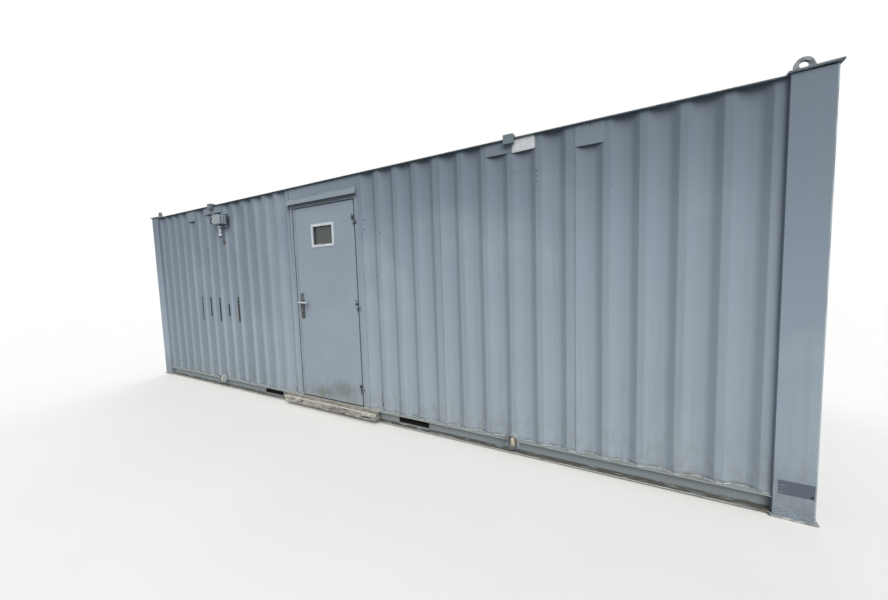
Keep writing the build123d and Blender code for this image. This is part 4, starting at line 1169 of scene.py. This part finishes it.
# chalky old paint left under the nose
under_nose = step_paint.level("Z", step_high[2] - 0.005, step_high[2] - 0.009)
chalk = step_paint.patches(0.016, 0.54, 0.64, stretch=(5, 1, 1), shift=8.0)
step_paint.coat([under_nose, chalk], 0.9, "#CFCCC3", 0.7)
# scraped bright along the nose and where the tread meets the wall
nose_front = step_paint.level("Y", step_low[1] + 0.006, step_low[1] + 0.002)
nose_top = step_paint.level("Z", step_high[2] - 0.016, step_high[2] - 0.010)
step_paint.coat([nose_front, nose_top, step_paint.patches(0.05, 0.28, 0.42)], 0.9, "#D9D6CD", 0.6)
step_paint.coat([step_paint.level("Y", step_high[1] - 0.020, step_high[1] - 0.014)], 0.7, "#BFBDB5", 0.7)
# three slits that rust has eaten through the front
slit_marks = ((-0.424, 0.066, 0.030, 0.007), (0.040, 0.064, 0.034, 0.007), (0.515, 0.062, 0.080, 0.009))
slits = step_paint.spots(slit_marks, soft=0.3, ragged=0.003)
step_paint.coat([slits], 0.95, "#23272A", 0.8)
step_paint.emboss((0.05, 0.0008), (0.006, 0.0002))
make_piece(step, "door_step_bent", "cabin", step_paint, "step_paint", "door_step")


# Power inlet
# A weatherproof plug housing of grey plastic with a screwed gland below and a round lid beside it.

inlet = clean_copy("power_inlet")
round_edges(inlet, 0.0016, segments=2, sharper_than=40.0)
inlet_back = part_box("power_inlet")[1][1]
housing = Finish("moulded_grey_polycarbonate", "#96A0A7", 0.5)
housing.coat([housing.patches(0.04, 0.46, 0.66)], 0.35, "#747F86", 0.5)
# the shade between the moulded ribs, and the dark rubber gasket on the wall
half_rib_pitch = 0.018
depth = add_node(housing.tree, "SeparateXYZ", {0: housing.place}).outputs["Y"]
rib_wave = add_node(housing.tree, "Math", {0: depth, 1: half_rib_pitch}, operation="PINGPONG").outputs[0]
rib_shade = add_node(housing.tree, "MapRange", {0: rib_wave, 1: 0.011, 2: 0.014}).outputs[0]
housing.coat([rib_shade, housing.level("Z", 2.125, 2.14)], 0.6, "#4D5A6C", 0.5)
gasket = housing.level("Y", inlet_back - 0.013, inlet_back - 0.010)
housing.coat([gasket, housing.level("Z", 2.10, 2.11)], 0.9, "#23292F", 0.6)
# the gland's rings painted light as highlights and the gaps between them dark as shade: top, foot, colour
# and how far it covers
gland_light_and_shade_bands = (
    (2.130, 2.108, "#36415A", 0.85),
    (2.108, 2.084, "#BFC8D0", 0.90),
    (2.084, 2.074, "#4A5566", 0.90),
    (2.074, 2.026, "#B0BAC2", 0.90),
    (2.026, 2.016, "#4A5566", 0.90),
    (2.016, 1.984, "#CFD5D9", 0.95),
    (1.984, 1.965, "#1E2226", 0.95),
)
for top, foot, colour, amount in gland_light_and_shade_bands:
    over_foot = housing.level("Z", foot - 0.001, foot + 0.001)
    under_top = housing.level("Z", top + 0.001, top - 0.001)
    housing.coat([over_foot, under_top], amount, colour, 0.45)
housing.emboss((0.006, 0.0001))
make_piece(inlet, "power_inlet_moulded", "cabin", housing, "inlet_housing", "power_inlet")

lid = clean_copy("power_inlet_lid")
lid_low, lid_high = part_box("power_inlet_lid")
lid_x = (lid_low[0] + lid_high[0]) / 2
lid_z = (lid_low[2] + lid_high[2]) / 2
front_face = min(lid.faces, key=lambda f: f.calc_center_median().y)
rim_width = 0.012
bmesh.ops.inset_individual(lid, faces=[front_face], thickness=rim_width, depth=0.0)
round_edges(lid, 0.0025, segments=3, sharper_than=50.0)
# Moulded plastic: a dark rubber ring round a pale cap
lid_skin = Finish("moulded_lid_with_rubber_ring", "#8E989B", 0.6, gloss=0.1)
ring_outside, ring_inside = 0.049, 0.022
disc = lid_skin.spots(((lid_x, lid_z, ring_outside, ring_outside),), soft=0.05, ragged=0.0005)
cap = lid_skin.spots(((lid_x, lid_z, ring_inside, ring_inside),), soft=0.10, ragged=0.0005)
ring = add_node(lid_skin.tree, "Math", {0: disc, 1: cap}, operation="SUBTRACT").outputs[0]
lid_skin.coat([lid_skin.patches(0.02, 0.45, 0.66)], 0.3, "#6E7A7D", 0.6)
lid_skin.coat([ring], 0.95, "#151B26", 0.7)
make_piece(lid, "power_inlet_lid_moulded", "cabin", lid_skin, "inlet_housing", "power_inlet_lid")


# Linings, ceiling and deck
# White faced boards over the insulation, jointed every 2.4 m, and a plywood deck on the joists.

half_board = 1.22
boards = Finish("white_faced_lining_board", "#D9D8D2", 0.5)
boards.coat([boards.patches(0.4, 0.42, 0.70)], 0.3, "#C9C7BF", 0.55)
where = add_node(boards.tree, "SeparateXYZ", {0: boards.place}).outputs
for axis in "XY":
    sockets = {0: where[axis], 1: half_board}
    wrapped = add_node(boards.tree, "Math", sockets, operation="PINGPONG").outputs[0]
    line = add_node(boards.tree, "MapRange", {0: wrapped, 1: 0.003, 2: 0.001}).outputs[0]
    boards.coat([line], 0.6, "#8F8E88", 0.6)
boards.emboss((0.003, 0.00006))
refinish(boards, "side_linings", "end_linings", "lining_over_door", "ceiling")

# Birch plywood sealed against wet boots: warm brown grain along the deck
deck_ply = Finish("sealed_plywood_deck", "#8A6B47", 0.55)
deck_ply.coat([deck_ply.patches(0.012, 0.40, 0.62, stretch=(30, 1, 1), detail=5.0)], 0.6, "#6E5236", 0.6)
deck_ply.coat([deck_ply.patches(0.35, 0.42, 0.68, shift=4.0)], 0.45, "#5B4A38", 0.75)
deck_ply.emboss((0.01, 0.0002, (20, 1, 1)))
refinish(deck_ply, "floor_deck")


# Size of the dressed model
# The box round every shown piece and CAD node, without the floor.

low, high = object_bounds()
